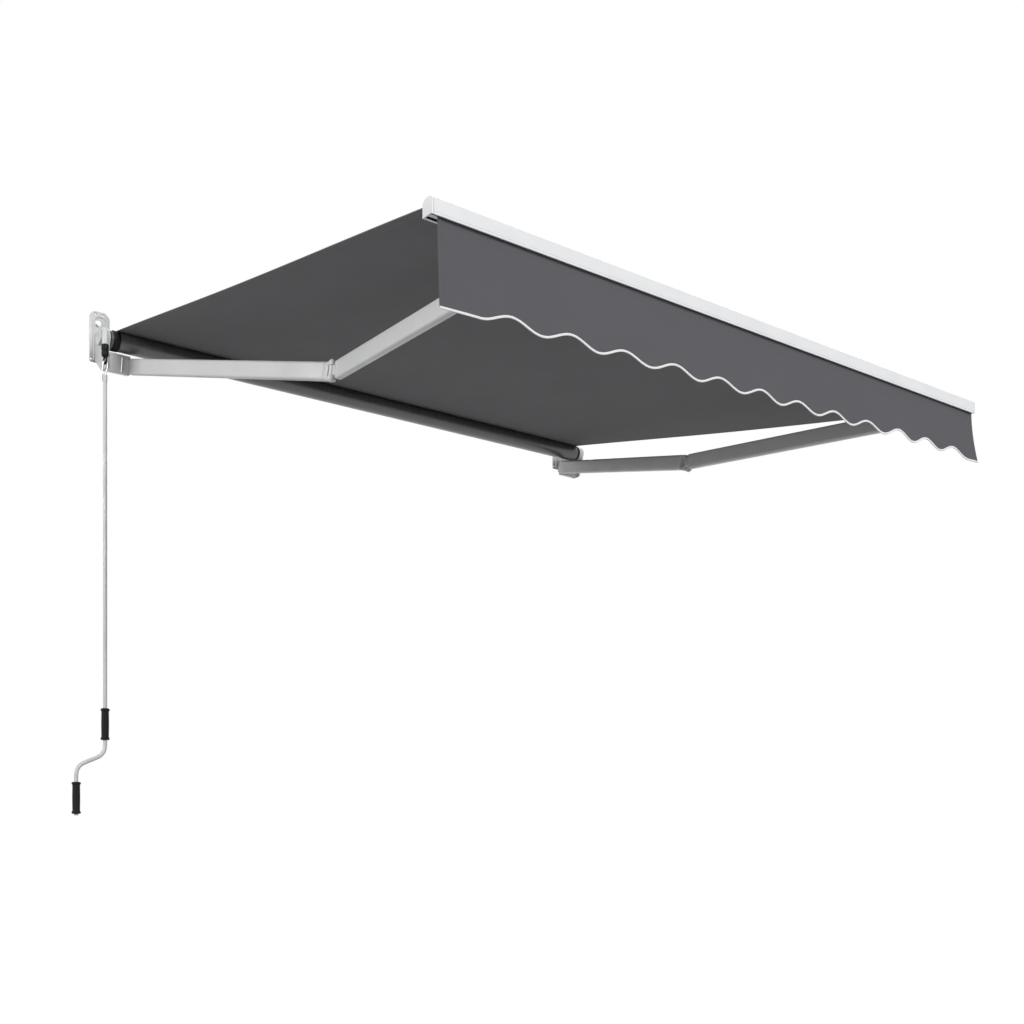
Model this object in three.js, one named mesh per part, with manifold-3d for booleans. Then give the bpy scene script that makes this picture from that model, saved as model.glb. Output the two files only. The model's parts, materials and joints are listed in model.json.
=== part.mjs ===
// Retractable folding-arm awning with a hand crank, drawn fully extended.
// Millimetres, +Z up. The wall is the plane y = 0 and the canopy reaches out towards -Y.
// The origin is the middle of the left wall plate's back face.

import * as THREE from 'three';
import { mergeVertices } from 'three/addons/utils/BufferGeometryUtils.js';
import Module from 'manifold-3d';

// Clearances
const SEAT_GAP = 0.3;
const RUN_GAP = 0.4;

// Width of the awning, and how far its other wide pieces stand in from the bar's ends
const BAR_LENGTH = 2450;
const PLATE_OUTSET = 8;
const ROLLER_INSET = 5;
const SHOULDER_INSET = 61;
const CANOPY_INSET = 7;
const VALANCE_INSET = 23;

// Wall plates
const PLATE_WIDTH = 83;
const PLATE_HEIGHT = 202;
const PLATE_THICKNESS = 6;
const PLATE_CHAMFER = 18;
const PLATE_CORNER = 10;
const PLATE_ABOVE_ROLLER = 154;
const FIXING_HOLE_RADIUS = 4.5;
const UPPER_FIXING_SPACING = 30;
const LOWER_FIXING_WEB = 1.75;
const FIXING_HOLE_FROM_EDGE = 12;

// End brackets
const FOOT_WIDTH = 58;
const FOOT_TOP = 132;
const FOOT_BOTTOM = -44;
const FOOT_THICKNESS = 8;
const FOOT_CHAMFER = 16;
const CHEEK_THICKNESS = 9;
const CHEEK_NOSE_RADIUS = 34;
const CHEEK_TOE_DROP = 116;
const CHEEK_TOE_CORNER = 12;
const BOSS_RADIUS = 33;
const BOLT_RADIUS = 5;
const BOLT_HEAD_RADIUS = 9.8;
const BOLT_HEAD_HEIGHT = 7;
const WASHER_RADIUS = 12;
const WASHER_THICKNESS = 2;
const UPPER_BOLT_HEIGHT = 100;
const LOWER_BOLT_HEIGHT = -22;
const UPPER_BOLT_OFFSET = -11;
const LOWER_BOLT_OFFSET = 8;

// Roller
const ROLLER_FROM_WALL = 125;
const TUBE_RADIUS = 30;
const TUBE_WALL = 1.5;
const ROLL_RADIUS = 36;
const LEFT_CAP_LENGTH = 24;
const RIGHT_CAP_LENGTH = 8;
const PLUG_LENGTH = 60;
const SHAFT_RADIUS = 8;
const BUSH_RADIUS = 12;
const BUSH_FLANGE_RADIUS = 16;
const BUSH_FLANGE = 3;

// Crank gear
const GEAR_DEPTH = 26;
const GEAR_WALL = 4;
const GEAR_COVER = 3;
const WHEEL_RADIUS = 22;
const WHEEL_TOOTH_DEPTH = 2.5;
const WHEEL_TEETH = 21;
const WHEEL_WIDTH = 15;
const WORM_RADIUS = 9.5;
const WORM_CORE_RADIUS = 7;
const WORM_LENGTH = 36;
const WORM_RIDGES = 5;
const WORM_SHAFT_RADIUS = 5;
const TOWER_RADIUS = 12.8;
const TOWER_TOP = 27;
const TOWER_BOTTOM = -36;
const SLEEVE_DROP = 62;
const EYE_SHANK_RADIUS = 7.5;
const EYE_SHANK_LENGTH = 26;
const EYE_SOCKET_DEPTH = 14;
const EYE_RADIUS = 13;
const EYE_WIRE_RADIUS = 3.5;

// Crank
const HOOK_WIRE_RADIUS = 4;
const HOOK_HALF_WIDTH = 9;
const HOOK_TAIL_DROP = 64;
const HOOK_TAIL_GAP = 1.5;
const HOOK_STEM_DROP = 46;
const HOOK_SOCKET = 20;
const ROD_RADIUS = 8;
const ROD_TOP_DROP = 52;
const ROD_BEND_DROP = 1432;
const ROD_BEND_RADIUS = 34;
const HANDLE_OFFSET = 114;
const HANDLE_FALL = 48;
const HANDLE_LENGTH = 198;
const GRIP_LENGTH = 120;
const GRIP_RADIUS = 14.5;
const GRIP_COLLAR_RADIUS = 17.5;
const GRIP_COLLAR_LENGTH = 12;
const UPPER_GRIP_ABOVE_BEND = 8;
const LOWER_GRIP_ABOVE_END = 6;

// Folding arms
const SHOULDER_FROM_WALL = 105;
const SHOULDER_BELOW_ROLLER = 76;
const ARM_SLOPE = THREE.MathUtils.degToRad(10.45);
const UPPER_ARM_LENGTH = 1114;
const FOREARM_LENGTH = 911;
const UPPER_ARM_ANGLE = THREE.MathUtils.degToRad(14.93);
const FOREARM_ANGLE = THREE.MathUtils.degToRad(5.48);
const ELBOW_DROP = 100;
const ARM_HEIGHT = 60;
const ARM_WIDTH = 30;
const ARM_CORNER = 9;
const ARM_WALL = 2;
const ARM_FACE_OFFSET = 1;
const PLUG_INSERT = 46;
const LUG_THICKNESS = 5;
const LUG_RADIUS = 21;
const SHOULDER_BARREL_RADIUS = 21;
const SHOULDER_PIN_RADIUS = 7;
const SHOULDER_PIN_HEAD_RADIUS = 11;
const PIN_HEAD_HEIGHT = 4.5;
const SHOULDER_SETBACK = 44;
const SHOULDER_FLANGE = 12;
const ELBOW_SETBACK = 42;
const ELBOW_BARREL_RADIUS = 15;
const ELBOW_TONGUE_HEIGHT = 32;
const ELBOW_PIN_RADIUS = 6;
const ELBOW_PIN_HEAD_RADIUS = 9;
const WRIST_SETBACK = 48;
const WRIST_BARREL_RADIUS = 18;
const WRIST_BARREL_HEIGHT = 30;
const WRIST_PIN_RADIUS = 5;
const WRIST_PIN_HEAD_RADIUS = 8;
const WRIST_LUG = 7;
const OPEN_WRIST_PLAY = 7.5;
const KNUCKLE_NECK_HEIGHT = 40;
const KNUCKLE_RELIEF = 9;
const SPRING_LENGTH = 480;
const SPRING_RADIUS = 11;
const SPRING_WIRE_RADIUS = 2;
const SPRING_COILS = 16;
const ANCHOR_LENGTH = 24;

// Front bar
const BAR_DEPTH = 40;
const BAR_SHOULDER = 36.5;
const BAR_CROWN_RADIUS = 27;
const BAR_LIP = 3;
const BAR_WALL = 2.5;
const BAR_CAP_THICKNESS = 4;
const BAR_BEYOND_WRIST = 45;
const BAR_ABOVE_WRIST = 49;
const T_SLOT_START = 8;
const T_SLOT_MOUTH = 10;
const T_SLOT_WIDTH = 16;
const T_SLOT_HEIGHT = 5.5;
const KEDER_RADIUS = 2.9;
const KEDER_CHANNEL = 7;
const KEDER_MOUTH = 3;
const CANOPY_CHANNEL_HEIGHT = 30.5;
const VALANCE_CHANNEL_START = 27;
const BRACKET_WIDTH = 44;
const BRACKET_FLANGE = 8;
const BRACKET_WALL = 10;
const BRACKET_REACH = 24;
const T_BOLT_RADIUS = 3.5;
const T_BOLT_HEAD = 4;
const T_BOLT_HEAD_WIDTH = 13;
const NUT_RADIUS = 6.5;
const NUT_HEIGHT = 5;

// Cloth
const CLOTH_THICKNESS = 1.2;
const CANOPY_SAG = 8;
const VALANCE_DROP = 200;
const SCALLOP_HEIGHT = 26;
const SCALLOP_PITCH = 188;
const FIRST_LOBE = 150;
const BINDING_HEIGHT = 7;
const BINDING_THICKNESS = 2.4;

// Facet counts of round pieces
const ROUND = 20;
const FINE_ROUND = 32;
const SMALL_ROUND = 12;
const CORNER_STEPS = 4;
const SCALLOP_STEPS = 8;

// Finishes
const FINISH = {
  bracket: { color: 0xb9babc, roughness: 0.45, metalness: 0.35 },
  steel: { color: 0xc9cacc, roughness: 0.3, metalness: 0.9 },
  arm: { color: 0xd4d5d7, roughness: 0.38, metalness: 0.2 },
  bar: { color: 0xe2e2e6, roughness: 0.35, metalness: 0.2 },
  tube: { color: 0x8f9092, roughness: 0.4, metalness: 0.8 },
  black: { color: 0x141415, roughness: 0.5, metalness: 0.0 },
  canopy: { color: 0x474749, roughness: 0.9, metalness: 0.0 },
  valance: { color: 0x5f5e63, roughness: 0.9, metalness: 0.0 },
  binding: { color: 0xf0f0f0, roughness: 0.85, metalness: 0.0 },
  keder: { color: 0xd8d8d4, roughness: 0.6, metalness: 0.0 },
};

const wasm = await Module();
wasm.setup();

const X_AXIS = new THREE.Vector3(1, 0, 0);
const Y_AXIS = new THREE.Vector3(0, 1, 0);
const Z_AXIS = new THREE.Vector3(0, 0, 1);

// A closed geometry as a solid that can be joined and cut.
function solidOf(geometry) {
  const bare = geometry.clone();
  bare.deleteAttribute('normal');
  bare.deleteAttribute('uv');
  const merged = mergeVertices(bare, 1e-4);
  const mesh = new wasm.Mesh({
    numProp: 3,
    vertProperties: new Float32Array(merged.attributes.position.array),
    triVerts: new Uint32Array(merged.index.array),
  });
  return new wasm.Manifold(mesh);
}

function geometryOf(solid) {
  const mesh = solid.getMesh();
  const geometry = new THREE.BufferGeometry();
  geometry.setAttribute('position', new THREE.BufferAttribute(mesh.vertProperties, 3));
  geometry.setIndex(new THREE.BufferAttribute(mesh.triVerts, 1));
  geometry.computeVertexNormals();
  return geometry;
}

function join(first, ...others) {
  const solid = others.reduce((sum, piece) => sum.add(solidOf(piece)), solidOf(first));
  return geometryOf(solid);
}

function cut(base, ...tools) {
  const solid = tools.reduce((rest, tool) => rest.subtract(solidOf(tool)), solidOf(base));
  return geometryOf(solid);
}

// Straight extrusions of an outline along one axis.
function alongZ(shape, z0, z1) {
  const options = { depth: z1 - z0, bevelEnabled: false, curveSegments: CORNER_STEPS };
  const geometry = new THREE.ExtrudeGeometry(shape, options);
  return geometry.translate(0, 0, z0);
}

// The outline is drawn in (y, z).
function alongX(shape, x0, x1) {
  const turn = new THREE.Matrix4().makeBasis(Y_AXIS, Z_AXIS, X_AXIS);
  return alongZ(shape, x0, x1).applyMatrix4(turn);
}

// The outline is drawn in (x, z).
function alongY(shape, y0, y1) {
  const turn = new THREE.Matrix4().makeBasis(X_AXIS, Z_AXIS, Y_AXIS.clone().negate());
  return alongZ(shape, -y1, -y0).applyMatrix4(turn);
}

function outline(points) {
  return new THREE.Shape(points.map(([a, b]) => new THREE.Vector2(a, b)));
}

function roundHole(a, b, radius) {
  const circle = new THREE.EllipseCurve(a, b, radius, radius, 0, Math.PI * 2, true);
  return new THREE.Path(circle.getPoints(ROUND).slice(0, ROUND));
}

function box(x0, x1, y0, y1, z0, z1) {
  const geometry = new THREE.BoxGeometry(x1 - x0, y1 - y0, z1 - z0);
  return geometry.translate((x0 + x1) / 2, (y0 + y1) / 2, (z0 + z1) / 2);
}

function roundedRect(width, height, radius) {
  const w = width / 2 - radius;
  const h = height / 2 - radius;
  const shape = new THREE.Shape();
  shape.absarc(w, h, radius, 0, Math.PI / 2);
  shape.absarc(-w, h, radius, Math.PI / 2, Math.PI);
  shape.absarc(-w, -h, radius, Math.PI, Math.PI * 1.5);
  shape.absarc(w, -h, radius, Math.PI * 1.5, Math.PI * 2);
  return shape;
}

// Round bars: along Z, then the same bar laid along X.
function barZ(radius, z0, z1, sides = ROUND) {
  const geometry = new THREE.CylinderGeometry(radius, radius, z1 - z0, sides);
  return geometry.rotateX(Math.PI / 2).translate(0, 0, (z0 + z1) / 2);
}

function barX(radius, x0, x1, sides = ROUND) {
  return barZ(radius, x0, x1, sides).rotateY(Math.PI / 2);
}

// A ring-shaped sleeve about the X axis.
function sleeveX(inner, outer, x0, x1, sides = ROUND) {
  const profile = [[inner, x0], [outer, x0], [outer, x1], [inner, x1], [inner, x0]];
  const points = profile.map(([r, x]) => new THREE.Vector2(r, x));
  return new THREE.LatheGeometry(points, sides).rotateZ(-Math.PI / 2);
}

// A turned piece about the Z axis, from [radius, z] pairs.
function turnedZ(profile, sides = ROUND) {
  const points = profile.map(([r, z]) => new THREE.Vector2(r, z));
  return new THREE.LatheGeometry(points, sides).rotateX(Math.PI / 2);
}

// A path through chosen stations, so that straight runs need no extra steps.
class StationPath extends THREE.Curve {
  constructor(stations) {
    super();
    this.stations = stations;
  }

  getPoint(t, target = new THREE.Vector3()) {
    const last = this.stations.length - 1;
    const i = Math.min(Math.floor(t * last), last - 1);
    return target.lerpVectors(this.stations[i], this.stations[i + 1], t * last - i);
  }

  getPointAt(u, target) {
    return this.getPoint(u, target);
  }

  getTangentAt(u, target = new THREE.Vector3()) {
    const last = this.stations.length - 1;
    const i = Math.round(u * last);
    const before = this.stations[Math.max(i - 1, 0)];
    const here = this.stations[i];
    const after = this.stations[Math.min(i + 1, last)];
    const incoming = here.clone().sub(before).normalize();
    const outgoing = after.clone().sub(here).normalize();
    return target.copy(incoming.add(outgoing)).normalize();
  }
}

function bentBar(radius, stations, sides) {
  const section = new THREE.Shape();
  section.absarc(0, 0, radius, 0, Math.PI * 2);
  const path = new StationPath(stations);
  const corner = new THREE.Shape(section.getSpacedPoints(sides).slice(0, sides));
  return new THREE.ExtrudeGeometry(corner, { steps: stations.length - 1, extrudePath: path });
}

// Points on a rounded polyline in the x-z plane: straight runs with circular-looking bends.
function roundedRoute(corners, bend, stepsPerBend) {
  const points = corners.map(([x, z]) => new THREE.Vector3(x, 0, z));
  const route = [points[0]];
  for (let i = 1; i < points.length - 1; i += 1) {
    const here = points[i];
    const back = points[i - 1].clone().sub(here);
    const ahead = points[i + 1].clone().sub(here);
    const reach = Math.min(bend, back.length() * 0.49, ahead.length() * 0.49);
    const start = here.clone().add(back.setLength(reach));
    const end = here.clone().add(ahead.setLength(reach));
    const curve = new THREE.QuadraticBezierCurve3(start, here, end);
    route.push(...curve.getPoints(stepsPerBend));
  }
  route.push(points[points.length - 1]);
  return route;
}

const awning = new THREE.Group();

function add(name, finish, geometry, parent = awning) {
  const mesh = new THREE.Mesh(geometry, new THREE.MeshStandardMaterial(FINISH[finish]));
  mesh.name = name;
  parent.add(mesh);
  return mesh;
}

// The right-hand twin of a left-hand piece, mirrored across the middle plane x = 0.
function addTwin(mesh, geometry = mesh.geometry) {
  mesh.updateWorldMatrix(true, false);
  const twin = geometry.index ? geometry.toNonIndexed() : geometry.clone();
  twin.applyMatrix4(mesh.matrixWorld).scale(-1, 1, 1);
  const corners = twin.attributes.position;
  const a = new THREE.Vector3();
  const b = new THREE.Vector3();
  for (let i = 0; i < corners.count; i += 3) {
    a.fromBufferAttribute(corners, i);
    b.fromBufferAttribute(corners, i + 1);
    corners.setXYZ(i, b.x, b.y, b.z);
    corners.setXYZ(i + 1, a.x, a.y, a.z);
  }
  twin.computeVertexNormals();
  const right = new THREE.Mesh(twin, mesh.material);
  right.name = mesh.name.replace('left', 'right');
  awning.add(right);
  return right;
}

// Places shared by several pieces
const plateX = -BAR_LENGTH / 2 - PLATE_OUTSET;
const plateFront = -PLATE_THICKNESS;
const footFront = plateFront - SEAT_GAP - FOOT_THICKNESS;
const rollerY = -ROLLER_FROM_WALL;
const rollerEnd = BAR_LENGTH / 2 - ROLLER_INSET;
const canopyWidth = BAR_LENGTH - CANOPY_INSET * 2;
const valanceWidth = BAR_LENGTH - VALANCE_INSET * 2;
const cheekIn = -(rollerEnd + SEAT_GAP * 2 + LEFT_CAP_LENGTH + BUSH_FLANGE + SEAT_GAP);
const cheekOut = cheekIn - CHEEK_THICKNESS;
const shoulderX = -BAR_LENGTH / 2 + SHOULDER_INSET;
const shoulder = new THREE.Vector3(shoulderX, -SHOULDER_FROM_WALL, -SHOULDER_BELOW_ROLLER);
const elbow = new THREE.Vector3(
  UPPER_ARM_LENGTH * Math.sin(UPPER_ARM_ANGLE),
  -UPPER_ARM_LENGTH * Math.cos(UPPER_ARM_ANGLE),
  -ELBOW_DROP,
);
const wrist = new THREE.Vector3(
  elbow.x - FOREARM_LENGTH * Math.sin(FOREARM_ANGLE),
  elbow.y - FOREARM_LENGTH * Math.cos(FOREARM_ANGLE),
  0,
);
const wristPlace = wrist.clone().applyAxisAngle(X_AXIS, ARM_SLOPE).add(shoulder);
const barBack = wristPlace.y - BAR_BEYOND_WRIST;
const barBottom = wristPlace.z + BAR_ABOVE_WRIST;

// Wall plates: flat steel with chamfered top corners and four holes for wall bolts
function wallPlate() {
  const half = PLATE_WIDTH / 2;
  const top = PLATE_ABOVE_ROLLER;
  const bottom = top - PLATE_HEIGHT;
  const shape = new THREE.Shape();
  shape.moveTo(-half, top - PLATE_CHAMFER);
  shape.absarc(-half + PLATE_CORNER, bottom + PLATE_CORNER, PLATE_CORNER, Math.PI, Math.PI * 1.5);
  shape.absarc(half - PLATE_CORNER, bottom + PLATE_CORNER, PLATE_CORNER, Math.PI * 1.5, Math.PI * 2);
  shape.lineTo(half, top - PLATE_CHAMFER);
  shape.lineTo(half - PLATE_CHAMFER, top);
  shape.lineTo(-half + PLATE_CHAMFER, top);
  const holes = [];
  const lowerHole = half - FIXING_HOLE_RADIUS - LOWER_FIXING_WEB;
  for (const side of [-1, 1]) {
    holes.push([side * UPPER_FIXING_SPACING / 2, top - FIXING_HOLE_FROM_EDGE, FIXING_HOLE_RADIUS]);
    holes.push([side * lowerHole, bottom + FIXING_HOLE_FROM_EDGE, FIXING_HOLE_RADIUS]);
  }
  holes.push([UPPER_BOLT_OFFSET, UPPER_BOLT_HEIGHT, BOLT_RADIUS + SEAT_GAP]);
  holes.push([LOWER_BOLT_OFFSET, LOWER_BOLT_HEIGHT, BOLT_RADIUS + SEAT_GAP]);
  for (const [x, z, radius] of holes) {
    shape.holes.push(roundHole(x, z, radius));
  }
  return alongY(shape, plateFront, 0).translate(plateX, 0, 0);
}

// End bracket: a foot on the wall plate and an upright cheek that carries roller and arm
function endBracket(bossLength) {
  const half = FOOT_WIDTH / 2;
  const foot = alongY(outline([
    [-half, FOOT_BOTTOM], [half, FOOT_BOTTOM], [half, FOOT_TOP - FOOT_CHAMFER],
    [half - FOOT_CHAMFER, FOOT_TOP], [-half + FOOT_CHAMFER, FOOT_TOP], [-half, FOOT_TOP - FOOT_CHAMFER],
  ]), footFront, plateFront - SEAT_GAP).translate(plateX, 0, 0);
  const inFoot = footFront + FOOT_THICKNESS / 2;
  const toeBack = -SHOULDER_FROM_WALL + LUG_RADIUS + CHEEK_TOE_CORNER + 8;
  const toeFront = -SHOULDER_FROM_WALL - LUG_RADIUS - CHEEK_TOE_CORNER;
  const toe = -CHEEK_TOE_DROP;
  const cheekShape = new THREE.Shape();
  cheekShape.moveTo(inFoot, FOOT_BOTTOM);
  cheekShape.lineTo(inFoot, FOOT_TOP / 2);
  cheekShape.absarc(rollerY, 0, CHEEK_NOSE_RADIUS, Math.PI * 0.38, Math.PI * 1.15);
  cheekShape.lineTo(toeFront, toe + CHEEK_TOE_CORNER);
  cheekShape.lineTo(toeFront + CHEEK_TOE_CORNER, toe);
  cheekShape.lineTo(toeBack - CHEEK_TOE_CORNER, toe);
  cheekShape.lineTo(toeBack, toe + CHEEK_TOE_CORNER);
  const cheek = alongX(cheekShape, cheekOut, cheekIn);
  let casting = join(foot, cheek);
  if (bossLength > 0) {
    const boss = barX(BOSS_RADIUS, cheekIn - CHEEK_THICKNESS / 2, cheekIn + bossLength, FINE_ROUND);
    casting = join(casting, boss.translate(0, rollerY, 0));
  }
  const bore = barX(BUSH_RADIUS + SEAT_GAP, cheekOut - 1, cheekIn + bossLength + 1);
  bore.translate(0, rollerY, 0);
  const boltHoles = boltPlaces().map(([x, z]) => {
    const hole = barZ(BOLT_RADIUS + SEAT_GAP, footFront, 0, SMALL_ROUND).rotateX(Math.PI / 2);
    return hole.translate(x, footFront, z);
  });
  return cut(casting, bore, ...boltHoles);
}

function boltPlaces() {
  return [
    [plateX + UPPER_BOLT_OFFSET, UPPER_BOLT_HEIGHT],
    [plateX + LOWER_BOLT_OFFSET, LOWER_BOLT_HEIGHT],
  ];
}

// Hexagon bolt with its washer, turned in one with the shank that fills foot and plate
function bracketBolt(x, z) {
  const reach = -footFront - SEAT_GAP;
  const shank = barZ(BOLT_RADIUS, -reach, WASHER_THICKNESS, SMALL_ROUND);
  const washer = barZ(WASHER_RADIUS, SEAT_GAP, WASHER_THICKNESS, ROUND);
  const head = barZ(BOLT_HEAD_RADIUS, WASHER_THICKNESS / 2, WASHER_THICKNESS + BOLT_HEAD_HEIGHT, 6);
  return join(shank, washer, head).rotateX(Math.PI / 2).translate(x, footFront, z);
}

// Flanged bush in the cheek, on which a roller shaft turns
function bearingBush(innerFace) {
  const bore = SHAFT_RADIUS + RUN_GAP;
  const body = sleeveX(bore, BUSH_RADIUS, cheekOut, innerFace + SEAT_GAP * 2);
  const flange = sleeveX(bore, BUSH_FLANGE_RADIUS, innerFace + SEAT_GAP, innerFace + BUSH_FLANGE);
  return join(body, flange).translate(0, rollerY, 0);
}

const leftPlate = add('left_wall_plate', 'bracket', wallPlate());
addTwin(leftPlate);
const leftBracket = add('left_end_bracket', 'bracket', endBracket(0));
const bossLength = LEFT_CAP_LENGTH - RIGHT_CAP_LENGTH;
addTwin(leftBracket, endBracket(bossLength));
boltPlaces().forEach(([x, z], i) => {
  const bolt = add(`left_bracket_bolt_${i + 1}`, 'steel', bracketBolt(x, z));
  addTwin(bolt);
});
const leftBush = add('left_bearing_bush', 'black', bearingBush(cheekIn));
addTwin(leftBush, bearingBush(cheekIn + bossLength));

// Roller tube, the turns of cloth left on it, and its end plugs
add('roller_tube', 'tube', sleeveX(TUBE_RADIUS - TUBE_WALL, TUBE_RADIUS, -rollerEnd, rollerEnd, FINE_ROUND)
  .translate(0, rollerY, 0));
add('fabric_roll', 'canopy', sleeveX(TUBE_RADIUS + SEAT_GAP, ROLL_RADIUS, -rollerEnd, rollerEnd, FINE_ROUND)
  .translate(0, rollerY, 0));

// The plug fills the tube's end, its cap closes the roll and its shaft runs in the bush.
function rollerPlug(capLength, shaftEnd) {
  const capIn = -rollerEnd - SEAT_GAP;
  const plug = barX(TUBE_RADIUS - TUBE_WALL - SEAT_GAP, capIn - 1, -rollerEnd + PLUG_LENGTH);
  const cap = barX(ROLL_RADIUS, capIn - capLength, capIn, FINE_ROUND);
  const shaft = barX(SHAFT_RADIUS, shaftEnd, capIn - capLength + 1);
  return join(plug, cap, shaft).translate(0, rollerY, 0);
}

const gearIn = cheekOut - SEAT_GAP;
const gearOut = gearIn - GEAR_DEPTH;
const leftPlug = add('left_roller_plug', 'black', rollerPlug(LEFT_CAP_LENGTH, gearOut + GEAR_WALL));
addTwin(leftPlug, rollerPlug(RIGHT_CAP_LENGTH, cheekOut - GEAR_COVER));

// Worm gear: drum housing on the outside of the left cheek with a tower for the worm
const wormX = (gearIn + gearOut) / 2;
const wormY = rollerY - WHEEL_RADIUS - RUN_GAP - WORM_RADIUS;
const wheelCavity = WHEEL_RADIUS + RUN_GAP * 3;
const drumRadius = wheelCavity + GEAR_WALL;
const wormCavity = WORM_RADIUS + RUN_GAP * 2;

function gearHousing() {
  const drum = barX(drumRadius, gearOut, gearIn, FINE_ROUND).translate(0, rollerY, 0);
  const tower = barZ(TOWER_RADIUS, TOWER_BOTTOM, TOWER_TOP).translate(wormX, wormY, 0);
  const wheelSpace = barX(wheelCavity, gearOut - 1, gearIn - GEAR_WALL, FINE_ROUND);
  wheelSpace.translate(0, rollerY, 0);
  const wormSpace = barZ(wormCavity, TOWER_BOTTOM - 1, TOWER_TOP - GEAR_WALL).translate(wormX, wormY, 0);
  const shaftHole = barX(SHAFT_RADIUS + RUN_GAP, gearIn - GEAR_WALL - 1, gearIn + 1);
  shaftHole.translate(0, rollerY, 0);
  return cut(join(drum, tower), wheelSpace, wormSpace, shaftHole);
}

function toothedWheel() {
  const shape = new THREE.Shape();
  const pitch = (Math.PI * 2) / WHEEL_TEETH;
  const root = WHEEL_RADIUS - WHEEL_TOOTH_DEPTH;
  for (let i = 0; i < WHEEL_TEETH; i += 1) {
    for (const [share, radius] of [[0, root], [0.3, root], [0.45, WHEEL_RADIUS], [0.85, WHEEL_RADIUS]]) {
      const angle = (i + share) * pitch;
      const point = [radius * Math.cos(angle), radius * Math.sin(angle)];
      if (i === 0 && share === 0) shape.moveTo(...point);
      else shape.lineTo(...point);
    }
  }
  shape.holes.push(roundHole(0, 0, SHAFT_RADIUS + SEAT_GAP));
  const middle = gearIn - GEAR_WALL - RUN_GAP;
  return alongX(shape, middle - WHEEL_WIDTH, middle).translate(0, rollerY, 0);
}

function wormShaft() {
  const half = WORM_LENGTH / 2;
  const end = -SLEEVE_DROP - RUN_GAP - EYE_SOCKET_DEPTH + SEAT_GAP;
  const profile = [[0, end], [WORM_SHAFT_RADIUS, end], [WORM_SHAFT_RADIUS, -half], [WORM_CORE_RADIUS, -half]];
  const pitch = WORM_LENGTH / WORM_RIDGES;
  for (let i = 0; i < WORM_RIDGES; i += 1) {
    const z = -half + i * pitch;
    profile.push([WORM_CORE_RADIUS, z + pitch * 0.25], [WORM_RADIUS, z + pitch * 0.45]);
    profile.push([WORM_RADIUS, z + pitch * 0.75], [WORM_CORE_RADIUS, z + pitch * 0.95]);
  }
  const top = TOWER_TOP - GEAR_WALL - SEAT_GAP;
  profile.push([WORM_SHAFT_RADIUS, half], [WORM_SHAFT_RADIUS, top], [0, top]);
  return turnedZ(profile, SMALL_ROUND).translate(wormX, wormY, 0);
}

// Collar that closes the tower's mouth and guides the worm shaft
function wormSleeve() {
  const inner = WORM_SHAFT_RADIUS + RUN_GAP;
  const mouth = TOWER_BOTTOM - SEAT_GAP;
  return turnedZ([
    [inner, -SLEEVE_DROP], [TOWER_RADIUS - 3, -SLEEVE_DROP], [TOWER_RADIUS, -SLEEVE_DROP + 6],
    [TOWER_RADIUS, mouth], [wormCavity - SEAT_GAP, mouth], [wormCavity - SEAT_GAP, mouth + 8],
    [inner, mouth + 8], [inner, -SLEEVE_DROP],
  ]).translate(wormX, wormY, 0);
}

const eyeShankTop = -SLEEVE_DROP - RUN_GAP;
const eyeCentre = eyeShankTop - EYE_SHANK_LENGTH - EYE_RADIUS + EYE_WIRE_RADIUS * 2;

function crankEye() {
  const shankEnd = eyeCentre + EYE_RADIUS - EYE_WIRE_RADIUS / 2;
  const shank = barZ(EYE_SHANK_RADIUS, shankEnd, eyeShankTop, SMALL_ROUND);
  const ring = new THREE.TorusGeometry(EYE_RADIUS, EYE_WIRE_RADIUS, 8, ROUND);
  ring.rotateY(Math.PI / 2).translate(0, 0, eyeCentre);
  const socketEnd = eyeShankTop - EYE_SOCKET_DEPTH;
  const socket = barZ(WORM_SHAFT_RADIUS + SEAT_GAP, socketEnd, eyeShankTop + 1, SMALL_ROUND);
  return cut(join(shank, ring), socket).translate(wormX, wormY, 0);
}

add('gearbox_housing', 'bracket', gearHousing());
const coverIn = gearOut - SEAT_GAP;
const gearCover = barX(drumRadius, coverIn - GEAR_COVER, coverIn, FINE_ROUND).translate(0, rollerY, 0);
add('gearbox_cover', 'bracket', gearCover);
add('worm_wheel', 'steel', toothedWheel());
add('worm_shaft', 'steel', wormShaft());
add('worm_sleeve', 'black', wormSleeve());
add('crank_eye', 'black', crankEye());

// Crank: a wire hook through the eye, a long rod with a stepped handle, and two turning grips
const hookTop = eyeCentre - EYE_RADIUS + EYE_WIRE_RADIUS + SEAT_GAP + HOOK_WIRE_RADIUS;
const rodTop = hookTop - ROD_TOP_DROP;
const bendTop = rodTop - ROD_BEND_DROP;
const handleTop = bendTop - HANDLE_FALL;
const rodEnd = handleTop - HANDLE_LENGTH;

function crankHook() {
  const half = HOOK_HALF_WIDTH;
  const over = [];
  const steps = 8;
  for (let i = 0; i <= steps; i += 1) {
    const angle = (Math.PI * i) / steps;
    over.push(new THREE.Vector3(half * Math.cos(angle), 0, hookTop - half + half * Math.sin(angle)));
  }
  const stem = roundedRoute([
    [0, rodTop - HOOK_SOCKET + SEAT_GAP], [0, hookTop - HOOK_STEM_DROP], [half, hookTop - HOOK_STEM_DROP / 2],
    [half, hookTop - half],
  ], half, 3);
  stem.pop();
  const besideRod = ROD_RADIUS + HOOK_WIRE_RADIUS + HOOK_TAIL_GAP;
  const tail = roundedRoute([
    [-half, hookTop - half], [-half, hookTop - half * 2], [-besideRod, hookTop - HOOK_STEM_DROP],
    [-besideRod, hookTop - HOOK_TAIL_DROP],
  ], half, 3);
  tail.shift();
  return bentBar(HOOK_WIRE_RADIUS, [...stem, ...over, ...tail], 8).translate(wormX, wormY, 0);
}

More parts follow.
